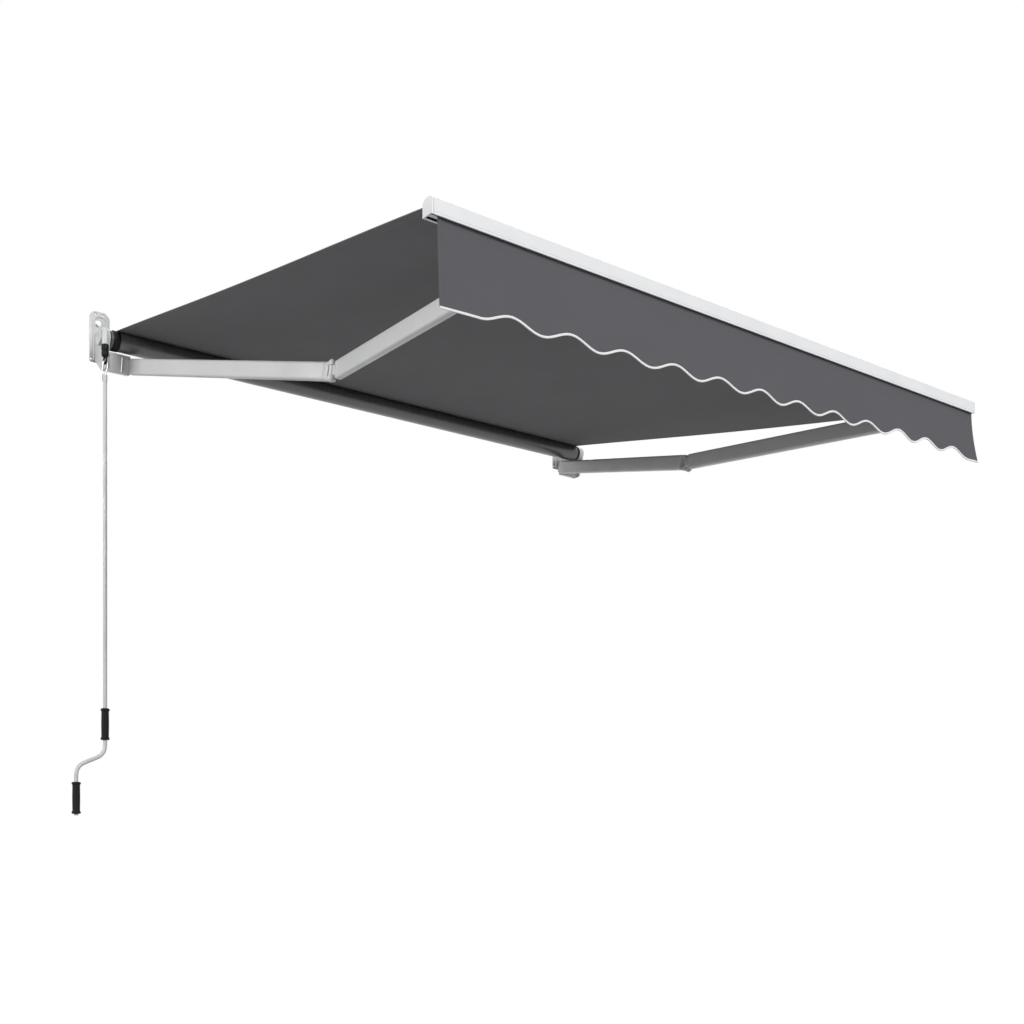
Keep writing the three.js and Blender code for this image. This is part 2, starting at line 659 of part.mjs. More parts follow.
function crankRod() {
  const route = roundedRoute([
    [0, rodTop], [0, bendTop], [-HANDLE_OFFSET, handleTop], [-HANDLE_OFFSET, rodEnd],
  ], ROD_BEND_RADIUS, 6);
  const rod = bentBar(ROD_RADIUS, route, SMALL_ROUND);
  const socket = barZ(HOOK_WIRE_RADIUS + SEAT_GAP, rodTop - HOOK_SOCKET, rodTop + 1, SMALL_ROUND);
  return cut(rod, socket).translate(wormX, wormY, 0);
}

// Moulded grip with a flared collar at each end, free to turn on the rod
function grip(x, bottom) {
  const inner = ROD_RADIUS + RUN_GAP;
  const top = bottom + GRIP_LENGTH;
  return turnedZ([
    [inner, bottom], [GRIP_COLLAR_RADIUS - 2, bottom], [GRIP_COLLAR_RADIUS, bottom + 3],
    [GRIP_COLLAR_RADIUS, bottom + GRIP_COLLAR_LENGTH - 4], [GRIP_RADIUS, bottom + GRIP_COLLAR_LENGTH],
    [GRIP_RADIUS, top - GRIP_COLLAR_LENGTH], [GRIP_COLLAR_RADIUS, top - GRIP_COLLAR_LENGTH + 4],
    [GRIP_COLLAR_RADIUS, top - 3], [GRIP_COLLAR_RADIUS - 2, top], [inner, top], [inner, bottom],
  ]).translate(x, wormY, 0);
}

add('crank_hook', 'steel', crankHook());
add('crank_rod', 'arm', crankRod());
add('upper_grip', 'black', grip(wormX, bendTop + ROD_BEND_RADIUS + UPPER_GRIP_ABOVE_BEND));
add('lower_grip', 'black', grip(wormX - HANDLE_OFFSET, rodEnd + LOWER_GRIP_ABOVE_END));

// Arm frame: its origin is the left shoulder pin, -Y runs out down the slope and +X is inboard.
const armFrame = new THREE.Group();
armFrame.position.copy(shoulder);
armFrame.rotation.x = ARM_SLOPE;
awning.add(armFrame);

const upperLength = Math.hypot(UPPER_ARM_LENGTH, ELBOW_DROP);
const upperTilt = Math.atan2(ELBOW_DROP, UPPER_ARM_LENGTH);
const forearmLength = Math.hypot(FOREARM_LENGTH, ELBOW_DROP);
const forearmTilt = Math.atan2(-ELBOW_DROP, FOREARM_LENGTH);
const tubeX = ARM_FACE_OFFSET + ARM_WIDTH / 2;
const halfArm = ARM_HEIGHT / 2;

// A link's frame: -Y runs from pin to pin, so the next pin is at y = -length.
function linkFrame(place, turn, tilt) {
  const heading = new THREE.Group();
  heading.position.copy(place);
  heading.rotation.z = turn;
  armFrame.add(heading);
  const link = new THREE.Group();
  link.rotation.x = tilt;
  heading.add(link);
  return link;
}

const upperLink = linkFrame(new THREE.Vector3(), UPPER_ARM_ANGLE, upperTilt);
const foreLink = linkFrame(elbow, -FOREARM_ANGLE, forearmTilt);

function armTube(y0, y1) {
  const shape = roundedRect(ARM_WIDTH, ARM_HEIGHT, ARM_CORNER);
  const bore = roundedRect(ARM_WIDTH - ARM_WALL * 2, ARM_HEIGHT - ARM_WALL * 2, ARM_CORNER - ARM_WALL);
  shape.holes.push(bore);
  return alongY(shape, y0, y1).translate(tubeX, 0, 0);
}

// The part of a casting that fills a tube's end
function tubeInsert(y0, y1) {
  const loss = (ARM_WALL + SEAT_GAP) * 2;
  const shape = roundedRect(ARM_WIDTH - loss, ARM_HEIGHT - loss, ARM_CORNER - ARM_WALL);
  return alongY(shape, y0, y1).translate(tubeX, 0, 0);
}

// The part of a casting that stands flush with the tube's outside
function tubeCollar(y0, y1) {
  return alongY(roundedRect(ARM_WIDTH, ARM_HEIGHT, ARM_CORNER), y0, y1).translate(tubeX, 0, 0);
}

// A barrel keeps square to the hinge pins although its link is tilted.
function barrel(radius, z0, z1, y, tilt, sides = ROUND) {
  return barZ(radius, z0, z1, sides).rotateX(-tilt).translate(0, y, 0);
}

function pinHole(radius, y, tilt) {
  return barrel(radius, -ARM_HEIGHT, ARM_HEIGHT, y, tilt);
}

// Shoulder bracket: a flange on the cheek and a fork with two lugs round the arm
function shoulderBracket() {
  const outward = cheekIn + SEAT_GAP - shoulder.x;
  const lugTop = halfArm + RUN_GAP + LUG_THICKNESS;
  const forkShape = new THREE.Shape();
  forkShape.moveTo(outward + SHOULDER_FLANGE / 2, LUG_RADIUS);
  forkShape.lineTo(outward + SHOULDER_FLANGE / 2, -LUG_RADIUS);
  forkShape.absarc(0, 0, LUG_RADIUS, -Math.PI / 2, Math.PI / 2);
  const fork = alongZ(forkShape, -lugTop, lugTop);
  const clearRadius = SHOULDER_BARREL_RADIUS + KNUCKLE_RELIEF;
  const wide = LUG_RADIUS * 2;
  const throatHalf = halfArm + RUN_GAP;
  const throat = box(-clearRadius, wide, -wide, wide, -throatHalf, throatHalf);
  const hole = barZ(SHOULDER_PIN_RADIUS + SEAT_GAP, -lugTop * 2, lugTop * 2);
  const flangeHalf = LUG_RADIUS + CHEEK_TOE_CORNER / 2;
  const flange = box(outward, outward + SHOULDER_FLANGE, -flangeHalf, flangeHalf, -lugTop, lugTop);
  return cut(join(flange, fork), throat, hole);
}

function shoulderPin() {
  const lugTop = halfArm + RUN_GAP + LUG_THICKNESS;
  const shank = barZ(SHOULDER_PIN_RADIUS, -lugTop - SEAT_GAP - 1, lugTop);
  const head = barZ(SHOULDER_PIN_HEAD_RADIUS, -lugTop - SEAT_GAP - PIN_HEAD_HEIGHT, -lugTop - SEAT_GAP);
  return join(shank, head);
}

function shoulderKnuckle() {
  const neckHalf = KNUCKLE_NECK_HEIGHT / 2;
  const collarEnd = -SHOULDER_SETBACK + SEAT_GAP;
  const collarStart = -SHOULDER_BARREL_RADIUS - KNUCKLE_RELIEF;
  const body = barrel(SHOULDER_BARREL_RADIUS, -halfArm, halfArm, 0, upperTilt);
  const neckIn = tubeX + ARM_WIDTH / 3;
  const neck = box(-SHOULDER_BARREL_RADIUS / 2, neckIn, collarStart - 2, 0, -neckHalf, neckHalf);
  const collar = tubeCollar(collarEnd, collarStart);
  const insert = tubeInsert(-SHOULDER_SETBACK - PLUG_INSERT, collarEnd + 1);
  return cut(join(body, neck, collar, insert), pinHole(SHOULDER_PIN_RADIUS + SEAT_GAP, 0, upperTilt));
}

// Elbow fork: an upper and a lower lug on the end of the upper arm
function elbowFork() {
  const pinY = -upperLength;
  const tongueHalf = ELBOW_TONGUE_HEIGHT / 2;
  const collarStart = pinY + ELBOW_SETBACK - SEAT_GAP;
  const collarEnd = pinY + ELBOW_BARREL_RADIUS + KNUCKLE_RELIEF / 2;
  const insert = tubeInsert(collarStart - 1, pinY + ELBOW_SETBACK + PLUG_INSERT);
  let casting = join(tubeCollar(collarEnd, collarStart), insert);
  for (const side of [-1, 1]) {
    const levels = [side * (tongueHalf + SEAT_GAP), side * halfArm].sort((a, b) => a - b);
    const lug = barrel(ELBOW_BARREL_RADIUS, ...levels, pinY, upperTilt);
    const web = box(0, tubeX + ARM_WIDTH / 3, 0, ELBOW_BARREL_RADIUS + KNUCKLE_RELIEF, ...levels);
    web.rotateX(-upperTilt).translate(0, pinY, 0);
    casting = join(casting, lug, web);
  }
  return cut(casting, pinHole(ELBOW_PIN_RADIUS + SEAT_GAP, pinY, upperTilt));
}

function elbowPin() {
  const reach = halfArm + SEAT_GAP;
  const shank = barZ(ELBOW_PIN_RADIUS, -reach - 1, reach + 1);
  const upper = barZ(ELBOW_PIN_HEAD_RADIUS, reach, reach + PIN_HEAD_HEIGHT);
  const lower = barZ(ELBOW_PIN_HEAD_RADIUS, -reach - PIN_HEAD_HEIGHT, -reach);
  return join(shank, upper, lower).rotateX(-upperTilt).translate(0, -upperLength, 0);
}

// Elbow tongue: the middle barrel on the start of the forearm
function elbowTongue() {
  const half = ELBOW_TONGUE_HEIGHT / 2;
  const collarStart = -ELBOW_BARREL_RADIUS - KNUCKLE_RELIEF / 2;
  const collarEnd = -ELBOW_SETBACK + SEAT_GAP;
  const body = barrel(ELBOW_BARREL_RADIUS, -half, half, 0, forearmTilt);
  const web = box(0, tubeX + ARM_WIDTH / 3, -ELBOW_BARREL_RADIUS - KNUCKLE_RELIEF, 0, -half, half);
  web.rotateX(-forearmTilt);
  const collar = tubeCollar(collarEnd, collarStart);
  const insert = tubeInsert(-ELBOW_SETBACK - PLUG_INSERT, collarEnd + 1);
  return cut(join(body, web, collar, insert), pinHole(ELBOW_PIN_RADIUS + RUN_GAP, 0, forearmTilt));
}

// Wrist knuckle: the barrel at the forearm's front end
function wristKnuckle(holeRadius) {
  const pinY = -forearmLength;
  const half = WRIST_BARREL_HEIGHT / 2;
  const collarStart = pinY + WRIST_SETBACK - SEAT_GAP;
  const collarEnd = pinY + WRIST_BARREL_RADIUS + KNUCKLE_RELIEF;
  const body = barrel(WRIST_BARREL_RADIUS, -half, half, pinY, forearmTilt);
  const webEnd = WRIST_BARREL_RADIUS + KNUCKLE_RELIEF + 2;
  const web = box(-WRIST_BARREL_RADIUS / 2, WRIST_BARREL_RADIUS - 1, 0, webEnd, -half, half);
  web.rotateX(-forearmTilt).translate(0, pinY, 0);
  const collar = tubeCollar(collarEnd, collarStart);
  const insert = tubeInsert(collarStart - 1, pinY + WRIST_SETBACK + PLUG_INSERT);
  return cut(join(body, web, collar, insert), pinHole(holeRadius, pinY, forearmTilt));
}

// Coil spring inside the upper arm, close wound, with its far end on an anchor block
function armSpring(y0, y1) {
  const pitch = (y1 - y0) / SPRING_COILS;
  const core = SPRING_RADIUS - SPRING_WIRE_RADIUS;
  const profile = [[0, y0], [core, y0]];
  for (let i = 0; i < SPRING_COILS; i += 1) {
    profile.push([SPRING_RADIUS, y0 + (i + 0.5) * pitch], [core, y0 + (i + 1) * pitch]);
  }
  profile.push([0, y1]);
  const points = profile.map(([r, y]) => new THREE.Vector2(r, y));
  return new THREE.LatheGeometry(points, SMALL_ROUND).translate(tubeX, 0, 0);
}

const springEnd = -upperLength + ELBOW_SETBACK + PLUG_INSERT + SEAT_GAP;
const springStart = springEnd + SPRING_LENGTH;
const anchorStart = springStart + SEAT_GAP;
const upperPieces = [
  ['left_shoulder_knuckle', 'arm', shoulderKnuckle()],
  ['left_upper_arm', 'arm', armTube(-upperLength + ELBOW_SETBACK, -SHOULDER_SETBACK)],
  ['left_elbow_fork', 'arm', elbowFork()],
  ['left_elbow_pin', 'steel', elbowPin()],
  ['left_arm_spring', 'steel', armSpring(springEnd, springStart)],
  ['left_spring_anchor', 'steel', tubeInsert(anchorStart, anchorStart + ANCHOR_LENGTH)],
];
const forePieces = [
  ['left_elbow_tongue', 'arm', elbowTongue()],
  ['left_forearm', 'arm', armTube(-forearmLength + WRIST_SETBACK, -ELBOW_SETBACK)],
];
addTwin(add('left_shoulder_bracket', 'bracket', shoulderBracket(), armFrame));
addTwin(add('left_shoulder_pin', 'steel', shoulderPin(), armFrame));
for (const [name, finish, geometry] of upperPieces) {
  addTwin(add(name, finish, geometry, upperLink));
}
for (const [name, finish, geometry] of forePieces) {
  addTwin(add(name, finish, geometry, foreLink));
}
// The right wrist keeps side play, because it closes the loop of arms and bar.
const leftWrist = add('left_wrist_knuckle', 'arm', wristKnuckle(WRIST_PIN_RADIUS + RUN_GAP), foreLink);
addTwin(leftWrist, wristKnuckle(WRIST_PIN_RADIUS + OPEN_WRIST_PLAY));

// Front bar: a hollow profile, drawn with p outwards from its back and q upwards from its bottom
const canopyChannelMid = BAR_WALL + KEDER_CHANNEL / 2;
const valanceMid = VALANCE_CHANNEL_START + KEDER_CHANNEL / 2;

function barSection(shape) {
  const place = ({ x, y }) => new THREE.Vector2(barBack - x, barBottom + y);
  return shape.getPoints(5).map(place).reverse();
}

// The arched top, from the front shoulder over to the back shoulder
function crown(shape) {
  const rise = Math.sqrt(BAR_CROWN_RADIUS ** 2 - (BAR_DEPTH / 2) ** 2);
  const start = Math.atan2(rise, BAR_DEPTH / 2);
  shape.absarc(BAR_DEPTH / 2, BAR_SHOULDER - rise, BAR_CROWN_RADIUS, start, Math.PI - start);
}

function barOutline() {
  const mouth = KEDER_MOUTH / 2;
  const tMid = T_SLOT_START + T_SLOT_MOUTH / 2;
  const shape = new THREE.Shape();
  shape.moveTo(0, 0);
  const slots = [
    [tMid, T_SLOT_MOUTH / 2, T_SLOT_WIDTH / 2, T_SLOT_HEIGHT],
    [valanceMid, mouth, KEDER_CHANNEL / 2, KEDER_CHANNEL],
  ];
  for (const [middle, neck, half, height] of slots) {
    shape.lineTo(middle - neck, 0);
    shape.lineTo(middle - neck, BAR_WALL);
    shape.lineTo(middle - half, BAR_WALL);
    shape.lineTo(middle - half, BAR_WALL + height);
    shape.lineTo(middle + half, BAR_WALL + height);
    shape.lineTo(middle + half, BAR_WALL);
    shape.lineTo(middle + neck, BAR_WALL);
    shape.lineTo(middle + neck, 0);
  }
  shape.lineTo(BAR_DEPTH - BAR_WALL, 0);
  shape.lineTo(BAR_DEPTH - BAR_WALL, -BAR_LIP);
  shape.lineTo(BAR_DEPTH, -BAR_LIP);
  crown(shape);
  const half = KEDER_CHANNEL / 2;
  const level = CANOPY_CHANNEL_HEIGHT;
  shape.lineTo(0, level + mouth);
  shape.lineTo(BAR_WALL, level + mouth);
  shape.lineTo(BAR_WALL, level + half);
  shape.lineTo(BAR_WALL + KEDER_CHANNEL, level + half);
  shape.lineTo(BAR_WALL + KEDER_CHANNEL, level - half);
  shape.lineTo(BAR_WALL, level - half);
  shape.lineTo(BAR_WALL, level - mouth);
  shape.lineTo(0, level - mouth);
  return shape;
}

function frontBar() {
  const half = BAR_LENGTH / 2 - BAR_CAP_THICKNESS - SEAT_GAP;
  const section = new THREE.Shape(barSection(barOutline()));
  const left = BAR_WALL * 2 + KEDER_CHANNEL;
  const low = BAR_WALL * 2 + KEDER_CHANNEL;
  const right = BAR_DEPTH - BAR_WALL;
  const high = BAR_SHOULDER - BAR_WALL;
  const cavity = outline([
    [left, low], [right, low], [right, high], [BAR_DEPTH - BAR_WALL * 4, high + BAR_WALL * 2],
    [left, high + BAR_WALL * 2],
  ]);
  section.holes.push(new THREE.Path(barSection(cavity)));
  return alongX(section, -half, half);
}

function barCap() {
  const shape = new THREE.Shape();
  shape.moveTo(0, 0);
  shape.lineTo(BAR_DEPTH - BAR_WALL, 0);
  shape.lineTo(BAR_DEPTH - BAR_WALL, -BAR_LIP);
  shape.lineTo(BAR_DEPTH, -BAR_LIP);
  crown(shape);
  const end = -BAR_LENGTH / 2;
  return alongX(new THREE.Shape(barSection(shape)), end, end + BAR_CAP_THICKNESS);
}

// Front bracket: a fork round the wrist barrel with a flange under the bar
function frontBracket() {
  const half = BRACKET_WIDTH / 2;
  const lugTop = WRIST_BARREL_HEIGHT / 2 + RUN_GAP + WRIST_LUG;
  const forkShape = new THREE.Shape();
  forkShape.moveTo(-half, -BRACKET_REACH - BRACKET_WALL);
  forkShape.lineTo(half, -BRACKET_REACH - BRACKET_WALL);
  forkShape.lineTo(half, -WRIST_BARREL_RADIUS);
  forkShape.absarc(0, 0, WRIST_BARREL_RADIUS, 0, Math.PI);
  forkShape.lineTo(-half, -WRIST_BARREL_RADIUS);
  const fork = alongZ(forkShape, -lugTop, lugTop);
  const throatHalf = WRIST_BARREL_HEIGHT / 2 + RUN_GAP;
  const throat = box(-half * 2, half * 2, -BRACKET_REACH, half * 2, -throatHalf, throatHalf);
  const hole = barZ(WRIST_PIN_RADIUS + SEAT_GAP, -lugTop * 2, lugTop * 2, SMALL_ROUND);
  const tilted = cut(fork, throat, hole).rotateX(ARM_SLOPE);
  tilted.translate(wristPlace.x, wristPlace.y, wristPlace.z);
  const wallBack = wristPlace.y - BRACKET_REACH - BRACKET_WALL / 3;
  const flangeTop = barBottom - SEAT_GAP;
  const flangeFront = barBack - T_SLOT_START - T_SLOT_WIDTH + T_SLOT_MOUTH / 2;
  const left = wristPlace.x - half;
  const right = wristPlace.x + half;
  const flange = box(left, right, flangeFront, wallBack, flangeTop - BRACKET_FLANGE, flangeTop);
  const wallTop = flangeTop - BRACKET_FLANGE / 2;
  const wall = box(left, right, wallBack - BRACKET_WALL, wallBack, wristPlace.z, wallTop);
  const [boltX, boltY] = tBoltPlace();
  const boltHole = barZ(T_BOLT_RADIUS + SEAT_GAP, flangeTop - BRACKET_FLANGE * 2, flangeTop + 1, SMALL_ROUND);
  return cut(join(tilted, flange, wall), boltHole.translate(boltX, boltY, 0));
}

function tBoltPlace() {
  return [wristPlace.x, barBack - T_SLOT_START - T_SLOT_MOUTH / 2];
}

function wristPin() {
  const reach = WRIST_BARREL_HEIGHT / 2 + RUN_GAP + WRIST_LUG + SEAT_GAP;
  const shank = barZ(WRIST_PIN_RADIUS, -reach - 1, reach + 1, SMALL_ROUND);
  const upper = barZ(WRIST_PIN_HEAD_RADIUS, reach, reach + PIN_HEAD_HEIGHT, SMALL_ROUND);
  const lower = barZ(WRIST_PIN_HEAD_RADIUS, -reach - PIN_HEAD_HEIGHT, -reach, SMALL_ROUND);
  return join(shank, upper, lower).rotateX(ARM_SLOPE).translate(wristPlace.x, wristPlace.y, wristPlace.z);
}

// Bolt with its square head in the bar's T-slot and its nut under the bracket
function tBolt() {
  const [x, y] = tBoltPlace();
  const headLow = barBottom + BAR_WALL + SEAT_GAP;
  const half = T_BOLT_HEAD_WIDTH / 2;
  const nutTop = barBottom - BRACKET_FLANGE - SEAT_GAP * 2;
  const head = box(-half, half, -half, half, headLow, headLow + T_BOLT_HEAD);
  const shank = barZ(T_BOLT_RADIUS, nutTop - NUT_HEIGHT - 2, headLow + 1, SMALL_ROUND);
  const nut = barZ(NUT_RADIUS, nutTop - NUT_HEIGHT, nutTop, 6);
  return join(head, shank, nut).translate(x, y, 0);
}

add('front_bar', 'bar', frontBar());
addTwin(add('front_bar_left_cap', 'bar', barCap()));
addTwin(add('left_front_bracket', 'arm', frontBracket()));
addTwin(add('left_wrist_pin', 'steel', wristPin()));
addTwin(add('left_front_bolt', 'steel', tBolt()));

// Canopy: from the top of the roll to the channel at the back of the bar, with a slight sag
const channelY = barBack;
const channelZ = barBottom + CANOPY_CHANNEL_HEIGHT;

function canopy() {
  const lift = ROLL_RADIUS + SEAT_GAP + CLOTH_THICKNESS / 2;
  const span = Math.hypot(channelY - rollerY, channelZ);
  const slope = Math.atan2(-channelZ, rollerY - channelY) + Math.asin(lift / span);
  const length = Math.sqrt(span * span - lift * lift);
  const keptBack = KEDER_CHANNEL / 2 - KEDER_RADIUS - SEAT_GAP;
  const reach = length + BAR_WALL + keptBack;
  const out = new THREE.Vector2(-Math.cos(slope), -Math.sin(slope));
  const up = new THREE.Vector2(-Math.sin(slope), Math.cos(slope));
  const start = new THREE.Vector2(rollerY, 0).addScaledVector(up, lift);
  const stations = 12;
  const upper = [];
  const lower = [];
  for (let i = 0; i <= stations; i += 1) {
    const t = i / stations;
    const sag = -4 * CANOPY_SAG * t * (1 - t);
    const middle = start.clone().addScaledVector(out, reach * t);
    upper.push(middle.clone().addScaledVector(up, sag + CLOTH_THICKNESS / 2));
    lower.push(middle.clone().addScaledVector(up, sag - CLOTH_THICKNESS / 2));
  }
  const half = canopyWidth / 2;
  return alongX(new THREE.Shape([...upper, ...lower.reverse()]), -half, half);
}

function kederRod(p, q, width) {
  return barX(KEDER_RADIUS, -width / 2, width / 2, 12).translate(0, barBack - p, barBottom + q);
}

// Height of the scalloped edge below the bar, as a cosine wave after the first lobe
function scallopDrop(x) {
  const along = x + valanceWidth / 2 - FIRST_LOBE;
  const wave = along > 0 ? (1 - Math.cos((Math.PI * 2 * along) / SCALLOP_PITCH)) / 2 : 0;
  return VALANCE_DROP - BINDING_HEIGHT - SCALLOP_HEIGHT * wave;
}

function scallopEdge(extra) {
  const points = [[-valanceWidth / 2, -scallopDrop(-valanceWidth / 2) - extra]];
  const step = SCALLOP_PITCH / SCALLOP_STEPS;
  for (let x = -valanceWidth / 2 + FIRST_LOBE; x < valanceWidth / 2 - step / 2; x += step) {
    points.push([x, -scallopDrop(x) - extra]);
  }
  points.push([valanceWidth / 2, -scallopDrop(valanceWidth / 2) - extra]);
  return points;
}

const valanceY = barBack - valanceMid;
const valanceTop = BAR_WALL + KEDER_CHANNEL / 2 - KEDER_RADIUS - SEAT_GAP;

function valance() {
  const half = valanceWidth / 2;
  const shape = outline([...scallopEdge(0), [half, valanceTop], [-half, valanceTop]]);
  return alongY(shape, -CLOTH_THICKNESS / 2, CLOTH_THICKNESS / 2).translate(0, valanceY, barBottom);
}

// Binding folded over the scalloped edge
function valanceBinding() {
  const shape = outline([...scallopEdge(BINDING_HEIGHT), ...scallopEdge(SEAT_GAP).reverse()]);
  return alongY(shape, -BINDING_THICKNESS / 2, BINDING_THICKNESS / 2).translate(0, valanceY, barBottom);
}

add('canopy', 'canopy', canopy());
add('canopy_keder', 'keder', kederRod(canopyChannelMid, CANOPY_CHANNEL_HEIGHT, canopyWidth));
add('valance', 'valance', valance());
add('valance_keder', 'keder', kederRod(valanceMid, BAR_WALL + KEDER_CHANNEL / 2, valanceWidth));
add('valance_binding', 'binding', valanceBinding());

// The origin moves to the middle of the left wall plate's back face.
awning.position.set(-plateX, 0, PLATE_HEIGHT / 2 - PLATE_ABOVE_ROLLER);

export default awning;
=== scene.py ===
"""Looks of a folding-arm patio awning: cloth, painted arms and bar, brackets, roller, gear and crank."""

import json
import math

import bpy
import numpy as np
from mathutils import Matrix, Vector


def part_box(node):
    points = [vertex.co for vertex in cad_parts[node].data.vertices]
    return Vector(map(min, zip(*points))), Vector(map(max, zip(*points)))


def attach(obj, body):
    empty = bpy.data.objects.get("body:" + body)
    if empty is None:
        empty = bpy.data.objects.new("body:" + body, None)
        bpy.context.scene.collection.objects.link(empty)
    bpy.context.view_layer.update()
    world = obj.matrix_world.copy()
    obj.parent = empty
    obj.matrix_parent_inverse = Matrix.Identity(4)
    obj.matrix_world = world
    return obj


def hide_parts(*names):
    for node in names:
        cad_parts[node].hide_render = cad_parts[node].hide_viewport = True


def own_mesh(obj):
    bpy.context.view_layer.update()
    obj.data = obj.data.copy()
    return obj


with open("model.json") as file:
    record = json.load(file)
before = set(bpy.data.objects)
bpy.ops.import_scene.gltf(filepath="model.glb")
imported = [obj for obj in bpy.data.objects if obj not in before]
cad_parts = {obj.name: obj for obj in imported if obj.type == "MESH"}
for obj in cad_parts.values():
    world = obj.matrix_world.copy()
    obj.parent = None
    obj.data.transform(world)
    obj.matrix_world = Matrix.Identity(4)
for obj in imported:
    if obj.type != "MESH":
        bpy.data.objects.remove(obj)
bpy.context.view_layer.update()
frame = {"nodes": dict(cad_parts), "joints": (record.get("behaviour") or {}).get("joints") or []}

MM = 0.001
HALF_TURN, FULL_TURN = np.pi, 2 * np.pi
X, Y, Z = np.eye(3)
ALONG_X = np.array([Y, Z, X])
ALONG_Y = np.array([X, Z, -Y])
OUTWARD = np.array([Y, -Z, -X])
SIDES = (("left", False), ("right", True))
SHARP, ROUND_SHARP = 32, 60  # edges that bend by more degrees stay sharp
JOINTS = {joint["name"]: joint for joint in frame["joints"]}


def span(node):
    """Lowest and highest corner of a CAD node as arrays."""
    low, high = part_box(node)
    return np.array(low), np.array(high)


def pin(joint):
    """A point on a joint's axis, in metres."""
    return np.array(JOINTS[joint]["pos_m"], float)


def mm(*points):
    """Points written in millimetres, as an array in metres."""
    return MM * np.array(points, float)


# Places read from the frame
HINGE = np.array(JOINTS["left_shoulder"]["axis"], float)
HINGE_AXES = np.array([X, np.cross(HINGE, X), HINGE])
SHOULDER = pin("left_shoulder")
ELBOW_DROP = 0.1  # the elbow's castings hang this far below the point on its axis
ELBOW = pin("left_elbow") - ELBOW_DROP * HINGE
WRIST = pin("left_wrist")
ROLLER = pin("roller_spin")
CRANK = pin("crank_spin")
PLATE_LOW, PLATE_HIGH = span("left_wall_plate")
MIDDLE_X = (PLATE_LOW[0] + span("right_wall_plate")[1][0]) / 2
BAR_LOW, BAR_HIGH = span("front_bar")
CAP_LOW, CAP_HIGH = span("front_bar_left_cap")
CANOPY_LOW, CANOPY_HIGH = span("canopy")
VALANCE_LOW, VALANCE_HIGH = span("valance")

# Driving sizes of the looks, in metres
SEAT_GAP = 0.3 * MM
PLATE_CHAMFER = 18 * MM
PLATE_CORNER = 10 * MM
PLATE_CHAMFER_CORNER = 5 * MM
PLATE_EDGE = 1.4 * MM
HOLE_FROM_EDGE = 12 * MM
TOP_HOLE_SPREAD = 15 * MM
BOTTOM_HOLE_SPREAD = 35.25 * MM
FOOT_THICKNESS = 8 * MM
FOOT_HALF = 29 * MM
FOOT_BELOW = 44 * MM
FOOT_CHAMFER = 16 * MM
FOOT_CORNER = 4 * MM
RIM_INSET = 0.8 * MM
RIM_WIDTH = 4.4 * MM
RIM_HEIGHT = 2.4 * MM
RIM_SOFT = 1 * MM
CHEEK_IN = -14.9 * MM
CHEEK_THICKNESS = 9 * MM
CHEEK_NOSE = 34 * MM
CHEEK_TOP = 66 * MM
CHEEK_TOE_CORNER = 9 * MM
CHEEK_TOE_ROUND = 12 * MM
CHEEK_TOE_BACK = 4 * MM
CHEEK_TOE_BELOW = 1 * MM
BRACKET_EDGE = 1.6 * MM
RIB_HALF = 2.5 * MM
ROLL_RADIUS = 36 * MM
ROLL_EDGE = 1.5 * MM
ROLL_STEP = 0.5 * MM
ROLL_RIPPLE = 0.15 * MM
SHAFT_RADIUS = 8 * MM
TOWER_RADIUS = 12.8 * MM
SLEEVE_WALL = 1.6 * MM
SCREW_FROM_RIM = 5.5 * MM
EYE_WIRE = 3.5 * MM
EYE_SKIRT = 14 * MM
HOOK_WIRE = 4 * MM
HOOK_HALF = 9 * MM
HOOK_STEM = 46 * MM
ROD_RADIUS = 8 * MM
ROD_COLLAR = 26 * MM
HANDLE_LENGTH = 186 * MM
HANDLE_STEP = 48 * MM
HANDLE_BEND = 36 * MM
GRIP_BORE = 8.6 * MM
GRIP_WAIST = 14.2 * MM
GRIP_BELLY = 1.0 * MM
GRIP_FLARE = 3.2 * MM
GRIP_FLUTES = 8
GRIP_FLUTE_DEPTH = 0.03
ARM_HEIGHT = 60 * MM
ARM_WIDTH = 30 * MM
ARM_CORNER = 9 * MM
ARM_FACE_OFFSET = 1 * MM
ARM_EDGE = 0.8 * MM
COLLAR_EDGE = 1.2 * MM
COLLAR_RELIEF = 9 * MM
BARREL_EDGE = 1.5 * MM
WEB_EDGE = 1.2 * MM
WEB_CORNER = 2.5 * MM
SHOULDER_SETBACK = 22 * MM
SHOULDER_RELIEF = 2 * MM
SHOULDER_BARREL = 16 * MM
SHOULDER_WEB = 22 * MM
ELBOW_SETBACK = 42 * MM
ELBOW_BARREL = 15 * MM
ELBOW_LUG = 13 * MM
ELBOW_TONGUE = 32 * MM
ELBOW_TONGUE_RADIUS = 10 * MM
ELBOW_TONGUE_RECESS = 9 * MM
WRIST_SETBACK = 48 * MM
WRIST_BARREL = 18 * MM
WRIST_BARREL_HEIGHT = 30 * MM
LUG_CLEARANCE = 0.4 * MM
LUG_RADIUS = 16 * MM
LUG_THICKNESS = 4 * MM
LUG_EDGE = 1.5 * MM
FLANGE_DEPTH = 12 * MM
FLANGE_CORNER = 7 * MM
WRIST_FORK_HALF = 22 * MM
WRIST_FORK_REACH = 24 * MM
WRIST_FORK_WALL = 10 * MM
WRIST_LUG_THICKNESS = 7 * MM
WRIST_FLANGE = 8 * MM
BAR_DEPTH = 40 * MM
BAR_SHOULDER = 36.5 * MM
BAR_CROWN = 27 * MM
BAR_LIP = 3 * MM
BAR_WALL = 2.5 * MM
BAR_SOFT = 0.5 * MM
BAR_CHANNEL_LEVEL = 30.5 * MM
CAP_EDGE = 1.1 * MM
CLOTH = 1.2 * MM
HEM = 14 * MM
CANOPY_SAG = 8 * MM
CANOPY_FOLD = 0.8 * MM
VALANCE_LEFT_DROP = 222 * MM
